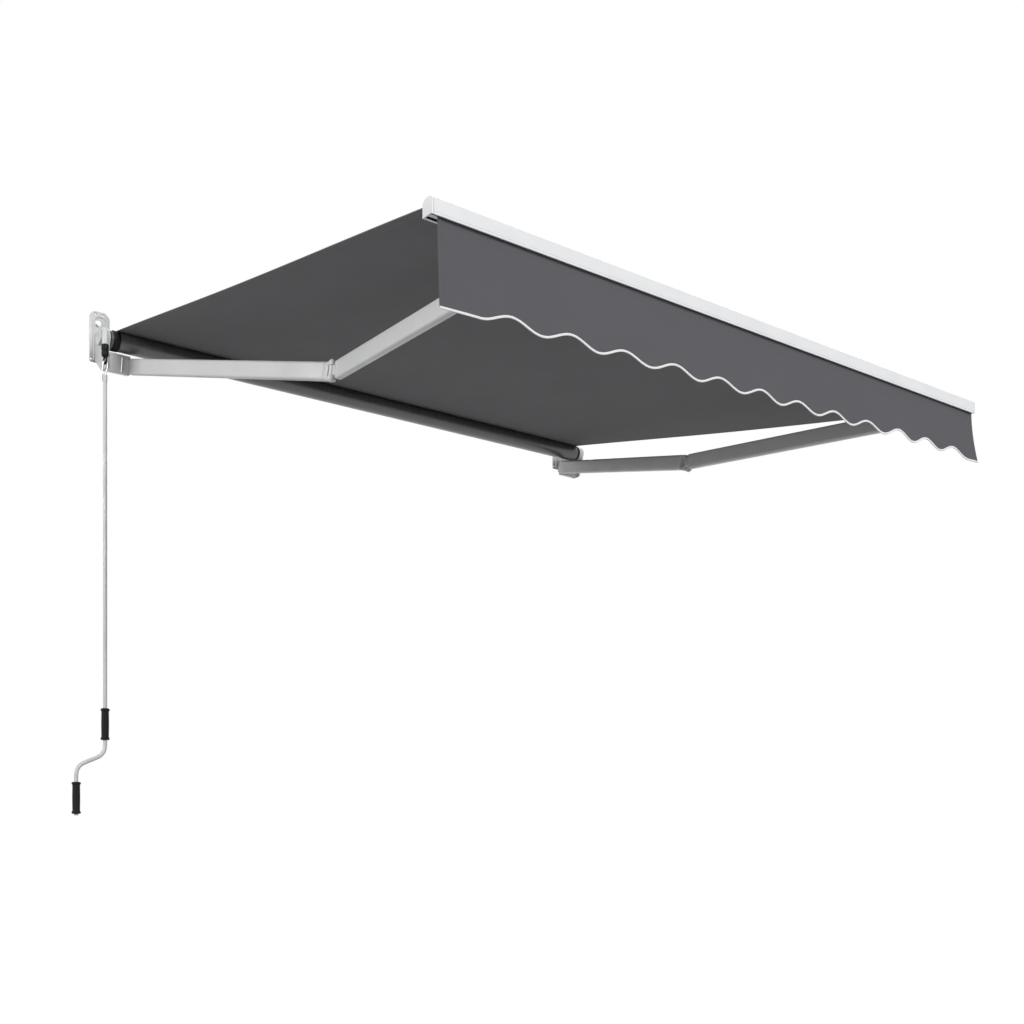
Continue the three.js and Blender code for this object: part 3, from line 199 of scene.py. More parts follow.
VALANCE_RIGHT_DROP = 166 * MM
VALANCE_SHIFT = 14 * MM
VALANCE_SEAM = 0.9 * MM
VALANCE_LONG_WAVE = 2.2 * MM
VALANCE_SHORT_WAVE = 1.2 * MM
VALANCE_FLARE = 16 * MM
VALANCE_LEFT_DRAW = 6 * MM
VALANCE_RIGHT_DRAW = 18 * MM
SCALLOP_HEIGHT = 26 * MM
SCALLOP_LEFT_PITCH = 215 * MM
SCALLOP_RIGHT_PITCH = 166 * MM
FIRST_LOBE = 131 * MM
SCALLOPS = 12
CORNER_SAG = 13 * MM
BINDING_HEIGHT = 6.5 * MM
BINDING_THICKNESS = 3 * MM
BINDING_CORNER = 1.3 * MM

BAR_BACK = BAR_HIGH[1]
BAR_BOTTOM = CAP_LOW[2] + BAR_LIP
CHANNEL = np.array([BAR_BACK, BAR_BOTTOM + BAR_CHANNEL_LEVEL])
VALANCE_START = VALANCE_LOW[0]
VALANCE_END = VALANCE_HIGH[0] + VALANCE_SHIFT


# Outlines and surfaces

def circle(radius, count=48):
    """Points at even angles round a circle."""
    turn = np.linspace(0, FULL_TURN, count, endpoint=False)
    return radius * np.stack([np.cos(turn), np.sin(turn)], 1)


def arc(radius, start, end, count):
    """Points at even angles on part of a circle, both ends included."""
    turn = np.linspace(start, end, count)
    return radius * np.stack([np.cos(turn), np.sin(turn)], 1)


def oblong(left, right, bottom, top):
    """The four corners of a rectangle."""
    return [(left, bottom), (right, bottom), (right, top), (left, top)]


def chamfered(left, right, bottom, top, cut):
    """A rectangle with both top corners cut off."""
    return [(left, bottom), (right, bottom), (right, top - cut), (right - cut, top),
            (left + cut, top), (left, top - cut)]


def rounded(corners, radii, steps=6, closed=True):
    """A polygon whose corners are rounded: each corner becomes a quadratic curve that starts and ends
    a radius away from it along its two sides."""
    corners = np.asarray(corners, float)
    radii = np.broadcast_to(np.asarray(radii, float), len(corners))
    before = np.roll(corners, 1, 0) - corners
    after = np.roll(corners, -1, 0) - corners
    long_before = np.linalg.norm(before, axis=1)
    long_after = np.linalg.norm(after, axis=1)
    reach = np.minimum(radii, 0.49 * np.minimum(long_before, long_after))
    start = corners + before * (reach / long_before)[:, None]
    end = corners + after * (reach / long_after)[:, None]
    t = np.linspace(0, 1, steps + 1)[None, :, None]
    curve = (1 - t) ** 2 * start[:, None] + 2 * t * (1 - t) * corners[:, None] + t ** 2 * end[:, None]
    if closed:
        return curve.reshape(-1, corners.shape[1])
    inner = curve[1:-1].reshape(-1, corners.shape[1])
    return np.concatenate([corners[:1], inner, corners[-1:]])


def softened(profile, radius):
    """A turned piece's profile with each inner corner rounded."""
    return rounded(profile, radius, steps=4, closed=False)


def drum(bore, radius, low, high, edge):
    """A turned piece's profile: out from the bore at the low end, up its side and back in, rims softened."""
    return softened([(bore, low), (radius, low), (radius, high), (bore, high)], edge)


def rounded_rect(width, height, radius, steps=8):
    """A rectangle about the origin with circular corners."""
    signs = np.array([[1, 1], [-1, 1], [-1, -1], [1, -1]])
    centre = signs * np.array([width / 2 - radius, height / 2 - radius])
    turn = np.linspace(0, HALF_TURN / 2, steps + 1)[None] + np.arange(4)[:, None] * HALF_TURN / 2
    corner = radius * np.stack([np.cos(turn), np.sin(turn)], -1)
    return (centre[:, None] + corner).reshape(-1, 2)


def inset(outline, depth):
    """The outline moved inwards by depth along the mitre of each corner's two sides."""
    shortest, sharpest = 1e-12, 0.4
    ahead = np.roll(outline, -1, 0) - outline
    ahead /= np.maximum(np.linalg.norm(ahead, axis=1), shortest)[:, None]
    both = ahead + np.roll(ahead, 1, 0)
    normal = np.stack([-both[:, 1], both[:, 0]], 1)
    size = np.maximum((normal ** 2).sum(1), sharpest)
    x, y = outline.T
    area = (x * np.roll(y, -1) - y * np.roll(x, -1)).sum()
    return outline + np.sign(area) * depth * 2 * normal / size[:, None]


def stacked(lines, heights):
    """Outlines lifted to one height each."""
    return np.array([np.column_stack([line, np.full(len(line), height)])
                     for line, height in zip(lines, heights)])


def slab(outline, low, high, edge, steps=3):
    """A plate: the outline carried from low to high along Z, drawn in by a quarter circle at both edges."""
    turn = np.linspace(0, HALF_TURN / 2, steps + 1)
    draw = edge * (1 - np.sin(turn))
    rise = edge * (1 - np.cos(turn))
    depths = np.concatenate([draw, draw[::-1]])
    heights = np.concatenate([low + rise, high - rise[::-1]])
    return stacked([inset(outline, depth) for depth in depths], heights)


def turned(profile, count=48):
    """A turned piece: each (radius, height) of the profile becomes a ring about the Z axis."""
    smallest = 1e-5
    profile = np.asarray(profile, float)
    radii = np.maximum(profile[:, :1], smallest)
    flat = radii[:, :, None] * circle(1.0, count)[None]
    heights = np.broadcast_to(profile[:, 1][:, None, None], (len(profile), count, 1))
    return np.concatenate([flat, heights], 2)


def tube(path, radius, count):
    """A round section carried along a path; the section keeps the turn that it starts with."""
    along = np.gradient(path, axis=0)
    along /= np.linalg.norm(along, axis=1)[:, None]
    side = np.cross(along, np.cross(Y + 0.01 * Z, along))
    side /= np.linalg.norm(side, axis=1)[:, None]
    up = np.cross(along, side)
    ring = circle(radius, count)
    return path[:, None] + ring[None, :, :1] * side[:, None] + ring[None, :, 1:] * up[:, None]


def shell(rings, loop=False):
    """Faces between neighbouring rings, each ring closed on itself. A loop joins the last ring to the
    first; otherwise the two end rings are filled."""
    count, ring = rings.shape[:2]
    index = np.arange(count * ring).reshape(count, ring)
    first = index if loop else index[:-1]
    second = np.roll(index, -1, 0) if loop else index[1:]
    quads = np.stack([first, np.roll(first, -1, 1), np.roll(second, -1, 1), second], -1).reshape(-1, 4)
    faces = quads.tolist()
    if not loop:
        faces += [index[0][::-1].tolist(), index[-1].tolist()]
    return rings.reshape(-1, 3), faces


def solid(rings, origin=(0, 0, 0), axes=np.eye(3), loop=False):
    """A closed shell from rings moved to an origin, with their own x, y and z laid along three directions."""
    return shell(np.asarray(origin, float) + rings @ axes, loop)


def on_roller(profile, x, axes, count=48, loop=False):
    """A piece turned about the roller's axis, from a given place along it."""
    return solid(turned(profile, count), (x, *ROLLER[1:]), axes, loop)


def on_crank(profile, count, loop=False):
    """A piece turned about the crank's upright axis."""
    return solid(turned(profile, count), (*CRANK[:2], 0), loop=loop)


def flipped(axes, sign):
    """Directions turned over about their x when the sign is negative."""
    return axes * np.array([[1], [sign], [sign]])


def volume(points, faces):
    """Signed volume inside closed faces, as a sum of tetrahedra from the middle of the points."""
    total = 0.0
    for size in {len(face) for face in faces}:
        block = np.array([face for face in faces if len(face) == size])
        corner = points[block] - points.mean(0)
        total += np.einsum("ij,ikj->", corner[:, 0], np.cross(corner[:, 1:-1], corner[:, 2:]))
    return total


def joined(name, shells, mirrored):
    """A mesh of closed shells with their faces outwards, mirrored across the middle plane for the
    right-hand twin."""
    points, faces, start = [], [], 0
    for co, own in shells:
        co = np.array(co, float)
        if mirrored:
            co[:, 0] = 2 * MIDDLE_X - co[:, 0]
        if volume(co, own) < 0:
            own = [face[::-1] for face in own]
        faces += [[v + start for v in face] for face in own]
        points.append(co)
        start += len(co)
    mesh = bpy.data.meshes.new(name)
    mesh.from_pydata(np.concatenate(points).tolist(), [], faces)
    return mesh


def smooth(mesh, sharp=SHARP):
    """Smooth shading, broken at edges sharper than an angle in degrees."""
    mesh.polygons.foreach_set("use_smooth", np.ones(len(mesh.polygons), bool))
    mesh.set_sharp_from_angle(angle=math.radians(sharp))


def linked(name, data):
    """A new object in the scene."""
    obj = bpy.data.objects.new(name, data)
    bpy.context.scene.collection.objects.link(obj)
    return obj


def piece(name, shells, material, body, replaces=(), mirrored=False, uv=None, sharp=SHARP):
    """One object made of closed shells, with its material, body and the CAD nodes it stands for, which it
    hides.
    """
    mesh = joined(name, shells, mirrored)
    smooth(mesh, sharp)
    if uv is not None:
        corner = np.zeros(len(mesh.loops), np.int32)
        mesh.loops.foreach_get("vertex_index", corner)
        mesh.uv_layers.new(name="UVMap").data.foreach_set("uv", uv[corner].astype(np.float32).ravel())
    mesh.materials.append(material)
    mesh.update()
    obj = linked(name, mesh)
    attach(obj, body)
    if replaces:
        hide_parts(*replaces)
    return obj


def drilled(obj, cutters, mirrored):
    """Holes cut through a piece by closed shells."""
    tool = linked("cutter", joined("cutter", cutters, mirrored))
    cut = obj.modifiers.new("holes", "BOOLEAN")
    cut.operation = "DIFFERENCE"
    cut.solver = "EXACT"
    cut.object = tool
    bpy.context.view_layer.update()
    made = bpy.data.meshes.new_from_object(obj.evaluated_get(bpy.context.evaluated_depsgraph_get()))
    obj.modifiers.clear()
    made.name = obj.name
    obj.data = made
    smooth(made)
    bpy.data.objects.remove(tool)


# Node groups and materials

FLOAT, COLOUR, VECTOR = "NodeSocketFloat", "NodeSocketColor", "NodeSocketVector"
EFFECT_OUTPUTS = (("Color", COLOUR), ("Roughness", FLOAT), ("Height", FLOAT))


def group(name, inputs):
    """An empty node group with named sockets."""
    tree = bpy.data.node_groups.new(name, "ShaderNodeTree")
    for label, kind, value in inputs:
        socket = tree.interface.new_socket(label, in_out="INPUT", socket_type=kind)
        if value is not None:
            socket.default_value = value
    for label, kind in EFFECT_OUTPUTS:
        tree.interface.new_socket(label, in_out="OUTPUT", socket_type=kind)
    return tree, tree.nodes.new("NodeGroupInput").outputs, tree.nodes.new("NodeGroupOutput").inputs


def feed(tree, value, socket):
    """A socket set to a plain number, or linked to another socket."""
    if isinstance(value, (int, float)):
        socket.default_value = value
    else:
        tree.links.new(value, socket)


def math_node(tree, operation, *values):
    """A math node whose inputs are sockets or plain numbers."""
    node = tree.nodes.new("ShaderNodeMath")
    node.operation = operation
    for socket, value in zip(node.inputs, values):
        feed(tree, value, socket)
    return node.outputs[0]


def noise_node(tree, vector, scale, detail, roughness=0.55):
    """Noise of a given number of cells per metre."""
    node = tree.nodes.new("ShaderNodeTexNoise")
    for label, value in (("Vector", vector), ("Scale", scale), ("Detail", detail), ("Roughness", roughness)):
        feed(tree, value, node.inputs[label])
    return node.outputs["Fac"]


def stretched(tree, vector, scale):
    """A vector scaled by a different factor along each axis."""
    node = tree.nodes.new("ShaderNodeMapping")
    node.inputs["Scale"].default_value = scale
    tree.links.new(vector, node.inputs["Vector"])
    return node.outputs["Vector"]


def ramp_node(tree, value, low, high, to_low=0.0, to_high=1.0):
    """A value mapped from one range to another, held at both ends."""
    node = tree.nodes.new("ShaderNodeMapRange")
    labels = ("Value", "From Min", "From Max", "To Min", "To Max")
    for label, number in zip(labels, (value, low, high, to_low, to_high)):
        feed(tree, number, node.inputs[label])
    return node.outputs["Result"]


def mix_node(tree, factor, first, second):
    """A mix of two colours."""
    node = tree.nodes.new("ShaderNodeMix")
    node.data_type = "RGBA"
    for label, value in (("Factor", factor), ("A", first), ("B", second)):
        tree.links.new(value, node.inputs[label])
    return node.outputs["Result"]


def finish_group():
    """Painted, moulded or plated surface: slow patches shift the colour between two tones and the
    roughness between two values, and a fine grain gives the height."""
    tree, entry, leave = group("surface_finish", [
        ("Vector", VECTOR, None), ("Tone", COLOUR, None), ("Second Tone", COLOUR, None),
        ("Patch Scale", FLOAT, 8.0), ("Grain Scale", FLOAT, 600.0),
        ("Low Roughness", FLOAT, 0.3), ("High Roughness", FLOAT, 0.5)])
    patch = noise_node(tree, entry["Vector"], entry["Patch Scale"], detail=5.0)
    grain = noise_node(tree, entry["Vector"], entry["Grain Scale"], detail=2.0)
    share = ramp_node(tree, patch, low=0.35, high=0.7)
    rough = ramp_node(tree, patch, 0.3, 0.7, entry["Low Roughness"], entry["High Roughness"])
    tree.links.new(mix_node(tree, share, entry["Tone"], entry["Second Tone"]), leave["Color"])
    tree.links.new(rough, leave["Roughness"])
    tree.links.new(grain, leave["Height"])
    return tree


def weave_group():
    """Plain weave on a map in metres: the product of two sines makes the over and under of the threads,
    long thin noise along the drop makes slubs, and slow noise makes faded patches."""
    tree, entry, leave = group("plain_weave", [
        ("Vector", VECTOR, None), ("Light Thread", COLOUR, None), ("Dark Thread", COLOUR, None),
        ("Thread Pitch", FLOAT, 0.0011), ("Slub", FLOAT, 0.5), ("Weave", FLOAT, 0.35),
        ("Low Roughness", FLOAT, 0.78), ("High Roughness", FLOAT, 0.95)])
    middle, slub_stretch, fade_scale, fade = 0.5, (95.0, 3.0, 1.0), 2.6, 0.35
    split = tree.nodes.new("ShaderNodeSeparateXYZ")
    tree.links.new(entry["Vector"], split.inputs[0])
    waves = []
    for axis in ("X", "Y"):
        steps = math_node(tree, "DIVIDE", split.outputs[axis], entry["Thread Pitch"])
        waves.append(math_node(tree, "SINE", math_node(tree, "MULTIPLY", steps, math.pi)))
    over = math_node(tree, "MULTIPLY_ADD", math_node(tree, "MULTIPLY", *waves), middle, middle)
    slub = noise_node(tree, stretched(tree, entry["Vector"], slub_stretch), 1.0, detail=3.0, roughness=0.6)
    faded = noise_node(tree, entry["Vector"], fade_scale, detail=4.0)
    share = middle
    for pattern, weight in ((over, entry["Weave"]), (slub, entry["Slub"]), (faded, fade)):
        part = math_node(tree, "MULTIPLY", math_node(tree, "SUBTRACT", pattern, middle), weight)
        share = math_node(tree, "ADD", part, share)
    share = ramp_node(tree, share, low=0.0, high=1.0)
    rough = ramp_node(tree, slub, 0.3, 0.7, entry["Low Roughness"], entry["High Roughness"])
    tree.links.new(mix_node(tree, share, entry["Dark Thread"], entry["Light Thread"]), leave["Color"])
    tree.links.new(rough, leave["Roughness"])
    tree.links.new(over, leave["Height"])
    return tree


FINISH = finish_group()
WEAVE = weave_group()


def finished(name, effect_tree, values, bump, coordinates="Object", stretch=None, **constants):
    """A material around one effect group: its colour, roughness and bump come from the group, and plain
    numbers are set on the shader itself. The bump is a strength and a distance in metres."""
    material = bpy.data.materials.new(name)
    material.use_nodes = True
    tree = material.node_tree
    shader = tree.nodes["Principled BSDF"]
    effect = tree.nodes.new("ShaderNodeGroup")
    effect.node_tree = effect_tree
    for label, value in values.items():
        effect.inputs[label].default_value = value
    source = tree.nodes.new("ShaderNodeTexCoord").outputs[coordinates]
    if stretch:
        source = stretched(tree, source, stretch)
    tree.links.new(source, effect.inputs["Vector"])
    tree.links.new(effect.outputs["Color"], shader.inputs["Base Color"])
    tree.links.new(effect.outputs["Roughness"], shader.inputs["Roughness"])
    relief = tree.nodes.new("ShaderNodeBump")
    relief.inputs["Strength"].default_value, relief.inputs["Distance"].default_value = bump
    tree.links.new(effect.outputs["Height"], relief.inputs["Height"])
    tree.links.new(relief.outputs["Normal"], shader.inputs["Normal"])
    for label, value in constants.items():
        shader.inputs[label.replace("_", " ")].default_value = value
    return material


def grey(value, warm=0.0):
    """A near-neutral colour in linear light; warm tips it from blue to yellow."""
    return (value * (1 + warm), value, value * (1 - warm), 1.0)


def coated(name, tones, scales, roughness, bump, **more):
    """A hard finish: two close tones, patches and grain per metre, and a range of roughness."""
    values = {"Tone": tones[0], "Second Tone": tones[1], "Patch Scale": scales[0], "Grain Scale": scales[1],
              "Low Roughness": roughness[0], "High Roughness": roughness[1]}
    return finished(name, FINISH, values, bump, **more)


def paint(name, tones, roughness=(0.3, 0.48)):
    """Powder coat with a fine orange-peel grain and a satin sheen."""
    return coated(name, tones, (7.0, 900.0), roughness, (0.12, 0.0004))


def woven(name, threads, slub, weave, bump, pitch=0.0012, roughness=(0.78, 0.95), **more):
    """Cloth in plain weave from a light and a dark thread, mapped in metres along the cloth."""
    values = {"Light Thread": threads[0], "Dark Thread": threads[1], "Thread Pitch": pitch, "Slub": slub,
              "Weave": weave, "Low Roughness": roughness[0], "High Roughness": roughness[1]}
    return finished(name, WEAVE, values, bump, coordinates="UV", **more)


BRACKET_PAINT = paint("bracket_paint", (grey(0.60, -0.01), grey(0.50, -0.01)))
ARM_PAINT = paint("arm_paint", (grey(0.72, -0.005), grey(0.67, -0.005)))
BAR_PAINT = paint("bar_paint", (grey(0.80, -0.012), grey(0.75, -0.012)), (0.28, 0.42))
CRANK_PAINT = paint("crank_paint", (grey(0.60), grey(0.52)), (0.25, 0.4))
# Painted shade: the insides of the bar's grooves are as white as the rest of the bar, and this near-black
# stands in for the shade in them.
BAR_GROOVE_PAINTED_SHADE = paint("bar_channel_dark", (grey(0.02), grey(0.035)), (0.6, 0.8))
BLACK_PLASTIC = coated("black_plastic", (grey(0.008), grey(0.014)), (30.0, 1500.0), (0.42, 0.6),
                       (0.25, 0.0003), Specular_IOR_Level=0.12)
GREY_PLASTIC = coated("grey_plastic", (grey(0.06), grey(0.1)), (25.0, 1200.0), (0.3, 0.5), (0.2, 0.0003))
STEEL = coated("zinc_steel", (grey(0.62, -0.01), grey(0.45, 0.01)), (120.0, 2200.0), (0.22, 0.42),
               (0.15, 0.0002), Metallic=0.9)
TUBE_METAL = coated("roller_tube_metal", (grey(0.5), grey(0.4)), (14.0, 400.0), (0.3, 0.45), (0.1, 0.0003),
                    stretch=(0.05, 1.0, 1.0), Metallic=0.85)
KEDER = coated("keder_cord", (grey(0.62, 0.02), grey(0.5, 0.02)), (40.0, 800.0), (0.5, 0.7), (0.2, 0.0003))
# Painted light: the canopy is the same cloth as the valance, but its threads are set almost twice as light to
# make up for the shade under the canopy.
CANOPY_CLOTH_PAINTED_LIGHT = woven("canopy_cloth", ((0.200, 0.199, 0.209, 1), (0.121, 0.120, 0.127, 1)),
                     slub=0.5, weave=0.5, bump=(0.35, 0.0004))
VALANCE_CLOTH = woven("valance_cloth", ((0.108, 0.105, 0.116, 1), (0.061, 0.059, 0.067, 1)),
                      slub=0.75, weave=0.4, bump=(0.4, 0.0004))
ROLL_CLOTH = woven("roll_cloth", ((0.13, 0.13, 0.137, 1), (0.06, 0.06, 0.064, 1)), slub=0.9, weave=0.2,
                   bump=(0.15, 0.0004), roughness=(0.3, 0.55), Coat_Weight=0.7, Coat_Roughness=0.3)
BINDING_CLOTH = woven("binding_cloth", (grey(0.9), grey(0.74)), slub=0.25, weave=0.5, bump=(0.4, 0.0005),
                      pitch=0.0016, Sheen_Weight=0.05)


# Wall plates and end brackets

def wall_plate(side, mirrored):
    """Flat plate with chamfered top corners and round bottom corners, drilled for four wall bolts."""
    low, high = PLATE_LOW, PLATE_HIGH
    corners = chamfered(low[0], high[0], low[2], high[2], PLATE_CHAMFER)
    outline = rounded(corners, [PLATE_CORNER] * 2 + [PLATE_CHAMFER_CORNER] * 4)
    body = solid(slab(outline, 0, high[1] - low[1], PLATE_EDGE), (0, high[1], 0), ALONG_Y)
    plate = piece(f"{side}_wall_plate_shaped", [body], BRACKET_PAINT, "wall_frame",
                  [f"{side}_wall_plate"], mirrored)
    middle = (low[0] + high[0]) / 2
    countersunk = turned(mm((4.5, -2), (4.5, 4.4), (6.2, 6), (6.2, 8)), 32)
    cutters = []
    for spread, level in ((TOP_HOLE_SPREAD, high[2] - HOLE_FROM_EDGE),
                          (BOTTOM_HOLE_SPREAD, low[2] + HOLE_FROM_EDGE)):
        cutters += [solid(countersunk, (middle + sign * spread, 0, level), ALONG_Y) for sign in (-1, 1)]
    drilled(plate, cutters, mirrored)


def end_bracket(side, mirrored):
    """Cast bracket: a chamfered foot with a raised rim, an upright cheek with a round nose, ribs between
    the two, and a ring round the left bearing or a boss round the right one."""
    foot_back = PLATE_LOW[1] - SEAT_GAP
    foot_front = foot_back - FOOT_THICKNESS
    top, bottom = span("left_end_bracket")[1][2], ROLLER[2] - FOOT_BELOW
    outline = rounded(chamfered(-FOOT_HALF, FOOT_HALF, bottom, top, FOOT_CHAMFER), FOOT_CORNER)
    foot = solid(slab(outline, 0, FOOT_THICKNESS, BRACKET_EDGE), (0, foot_back, 0), ALONG_Y)
    outer, inner = inset(outline, RIM_INSET), inset(outline, RIM_INSET + RIM_WIDTH)
    rise = [-RIM_SOFT, RIM_HEIGHT - RIM_SOFT, RIM_HEIGHT]
    lines = [outer, outer, inset(outer, RIM_SOFT), inset(inner, -RIM_SOFT), inner, inner]
    rim = solid(stacked(lines, rise + rise[::-1]), (0, foot_front, 0), ALONG_Y, loop=True)
    in_foot = foot_front + FOOT_THICKNESS / 2
    toe = SHOULDER[2] - ARM_HEIGHT / 2 - LUG_THICKNESS - CHEEK_TOE_BELOW
    toe_back = SHOULDER[1] + LUG_RADIUS + CHEEK_TOE_BACK
    toe_front = SHOULDER[1] - LUG_RADIUS - CHEEK_TOE_CORNER
    nose = ROLLER[1:] + arc(CHEEK_NOSE, 0.38 * HALF_TURN, 1.15 * HALF_TURN, 24)
    steps = 6
    sole = rounded([nose[-1], (toe_front, toe), (toe_back, toe), (in_foot, bottom)],
                   [0, CHEEK_TOE_ROUND, CHEEK_TOE_ROUND, 0], steps)[steps + 1:-steps - 1]
    cheek = np.concatenate([[(in_foot, bottom), (in_foot, ROLLER[2] + CHEEK_TOP)], nose, sole])
    cheek = solid(slab(cheek, CHEEK_IN - CHEEK_THICKNESS, CHEEK_IN, BRACKET_EDGE), axes=ALONG_X)
    shells = [foot, rim, cheek]
    if mirrored:
        boss = drum(12.6 * MM, 33 * MM, -4 * MM, 16 * MM, BRACKET_EDGE)
        shells.append(on_roller(boss, CHEEK_IN, ALONG_X, loop=True))
    else:
        ring = mm((13, 0), (31, 0), (31, 2), (29.5, 3), (24, 3), (22, 1.4), (13, 1.4))
        shells.append(on_roller(ring, CHEEK_IN - 1.2 * MM, ALONG_X, loop=True))
    start, end, root = CHEEK_IN - 1 * MM, FOOT_HALF - 3 * MM, foot_front + 1 * MM
    for rise, reach in mm((42, 44), (-34, 40)):
        rib = rounded([(start, root), (end, root), (start, foot_front - reach)], 1.5 * MM, 3)
        level = ROLLER[2] + rise
        shells.append(shell(slab(rib, level - RIB_HALF, level + RIB_HALF, 1 * MM)))
    piece(f"{side}_end_bracket_cast", shells, BRACKET_PAINT, "wall_frame",
          [f"{side}_end_bracket"], mirrored)


# Roller, gear and crank

def on_map(u, v):
    """One map point for each point of a grid, in metres along the cloth."""
    return np.stack(np.broadcast_arrays(u, v), -1).reshape(-1, 2)


def roller_pieces():
    """The turns of cloth on the tube, whose radius is a circle with a small step, a ripple and a drawn-in
    edge at each end, and the moulded caps that close it."""
    low, high = span("fabric_roll")
    stations = np.linspace(low[0], high[0], 120)
    turn = np.linspace(0, FULL_TURN, 96, endpoint=False)
    from_end = np.minimum(stations - low[0], high[0] - stations)
    drawn = np.where(from_end < ROLL_EDGE / 2, ROLL_EDGE, 0.0)
    step = ROLL_STEP * (turn / FULL_TURN) ** 4
    ripple = ROLL_RIPPLE * np.sin(stations * 23)[:, None] * np.cos(turn)[None]
    radius = ROLL_RADIUS - drawn[:, None] + step[None] + ripple
    rings = np.stack(np.broadcast_arrays(
        stations[:, None], ROLLER[1] + radius * np.cos(turn), ROLLER[2] + radius * np.sin(turn)), -1)
    piece("cloth_roll_wound", [shell(rings)], ROLL_CLOTH, "roller", ["fabric_roll"],
          uv=on_map(stations[:, None], turn * ROLL_RADIUS), sharp=50)
    near, far = low[0] - SEAT_GAP, high[0] + SEAT_GAP
    flange = softened(mm((30, -14), (37.6, -14), (38, 0), (38, 13), (30, 14), (30, 15)), 2 * MM)
    body = softened(mm((12, 10), (33.5, 10), (33.5, 22.6), (31, 24), (14, 24)), 1.2 * MM)
    rim = softened(mm((20, -1), (37.4, -1), (37.4, 6), (33, 8), (12, 8)), 1.2 * MM)
    near_shaft = [(SHAFT_RADIUS, 20 * MM), (SHAFT_RADIUS, near - span("left_roller_plug")[0][0])]
    far_shaft = [(SHAFT_RADIUS, 4 * MM), (SHAFT_RADIUS, span("right_roller_plug")[1][0] - far)]
    left_cap = [on_roller(flange, near, OUTWARD, 72), on_roller(near_shaft, near, OUTWARD, 32)]
    right_cap = [on_roller(rim, far, ALONG_X, 72), on_roller(far_shaft, far, ALONG_X, 32)]
    cap_drum = [on_roller(body, near, OUTWARD, 72)]
    piece("left_roller_cap_moulded", left_cap, BLACK_PLASTIC, "roller",
          ["left_roller_plug"])
    piece("left_roller_cap_drum", cap_drum, GREY_PLASTIC, "roller")
    piece("right_roller_cap_moulded", right_cap, BLACK_PLASTIC, "roller",
          ["right_roller_plug"])


def gear_pieces():
    """Drum and tower of the worm gear with their cover and screws, the black sleeve below, and the ring
    of the eye, a circle carried round a larger circle."""
    low, high = span("gearbox_housing")
    cover_low, cover_high = span("gearbox_cover")
    sleeve_low = span("worm_sleeve")[0][2]
    eye_low, eye_high = span("crank_eye")
    radius = (cover_high[2] - cover_low[2]) / 2
    housing = on_roller(drum(10 * MM, radius, 0, high[0] - low[0], 1.4 * MM), high[0], OUTWARD, 64)
    tower = on_crank(drum(2 * MM, TOWER_RADIUS, low[2], high[2], 2 * MM), 40)
    piece("gear_housing_cast", [housing, tower], BRACKET_PAINT, "wall_frame",
          ["gearbox_housing"])
    depth = cover_high[0] - cover_low[0]
    dish = depth - 1 * MM
    lid = softened([(1 * MM, 0), (radius, 0), (radius, depth), (10 * MM, depth), (9 * MM, dish),
                    (1 * MM, dish)], 0.8 * MM)
    piece("gear_cover_cast", [on_roller(lid, cover_high[0], OUTWARD, 64)], BRACKET_PAINT, "wall_frame",
          ["gearbox_cover"])
    screw = turned(softened(mm((1, -0.5), (3.2, -0.5), (3.2, 1.2), (1, 1.8)), 0.5 * MM), 16)
    spots = ROLLER[1:] + arc(radius - SCREW_FROM_RIM, HALF_TURN / 4, 7 * HALF_TURN / 4, 4)
    screws = [solid(screw, (cover_low[0], *spot), OUTWARD) for spot in spots]
    piece("gear_cover_screws", screws, STEEL, "wall_frame")
    mouth, wide = low[2] - SEAT_GAP, TOWER_RADIUS + SLEEVE_WALL
    sleeve = softened([(5.4 * MM, sleeve_low), (11 * MM, sleeve_low), (wide, sleeve_low + 7 * MM),
                       (wide, mouth), (5.4 * MM, mouth)], 1.2 * MM)
    piece("worm_sleeve_moulded", [on_crank(sleeve, 40, loop=True)], BLACK_PLASTIC, "wall_frame",
          ["worm_sleeve"])
    eye_radius = (eye_high[1] - eye_low[1]) / 2 - EYE_WIRE
    centre = eye_low[2] + EYE_WIRE + eye_radius
    turn = np.linspace(0, FULL_TURN, 48, endpoint=False)[:, None]
    outer, across = (circle(EYE_WIRE, 16) + (eye_radius, 0)).T
    ring = np.stack(np.broadcast_arrays(
        CRANK[0] + across, CRANK[1] + np.cos(turn) * outer, centre + np.sin(turn) * outer), -1)
    shank_low = centre + eye_radius - EYE_WIRE / 2
    skirt_top = sleeve_low - SEAT_GAP
    shank = softened([(2 * MM, shank_low), (0.6 * EYE_SKIRT, shank_low), (EYE_SKIRT, shank_low + 6 * MM),
                      (EYE_SKIRT, skirt_top), (4.6 * MM, skirt_top), (4.6 * MM, eye_high[2])], 1 * MM)
    piece("crank_eye_moulded", [shell(ring, loop=True), on_crank(shank, 32)], BLACK_PLASTIC, "crank_drive",
          ["crank_eye"])


def in_crank_plane(flat):
    """Points across and up from the crank's axis, set in the upright plane through it."""
    return np.column_stack([CRANK[0] + flat[:, 0], np.full(len(flat), CRANK[1]), flat[:, 1]])


def bend_route(corners, bend, spacing=0.03):
    """A route of straight runs and rounded corners, with points spaced along the straight runs."""
    line = rounded(corners, bend, steps=10, closed=False)
    gaps = np.linalg.norm(np.diff(line, axis=0), axis=1)
    route = [line[:1]]
    for start, end, gap in zip(line[:-1], line[1:], gaps):
        count = max(int(gap / spacing), 1)
        route.append(start + (end - start) * (np.arange(1, count + 1) / count)[:, None])
    return np.concatenate(route)


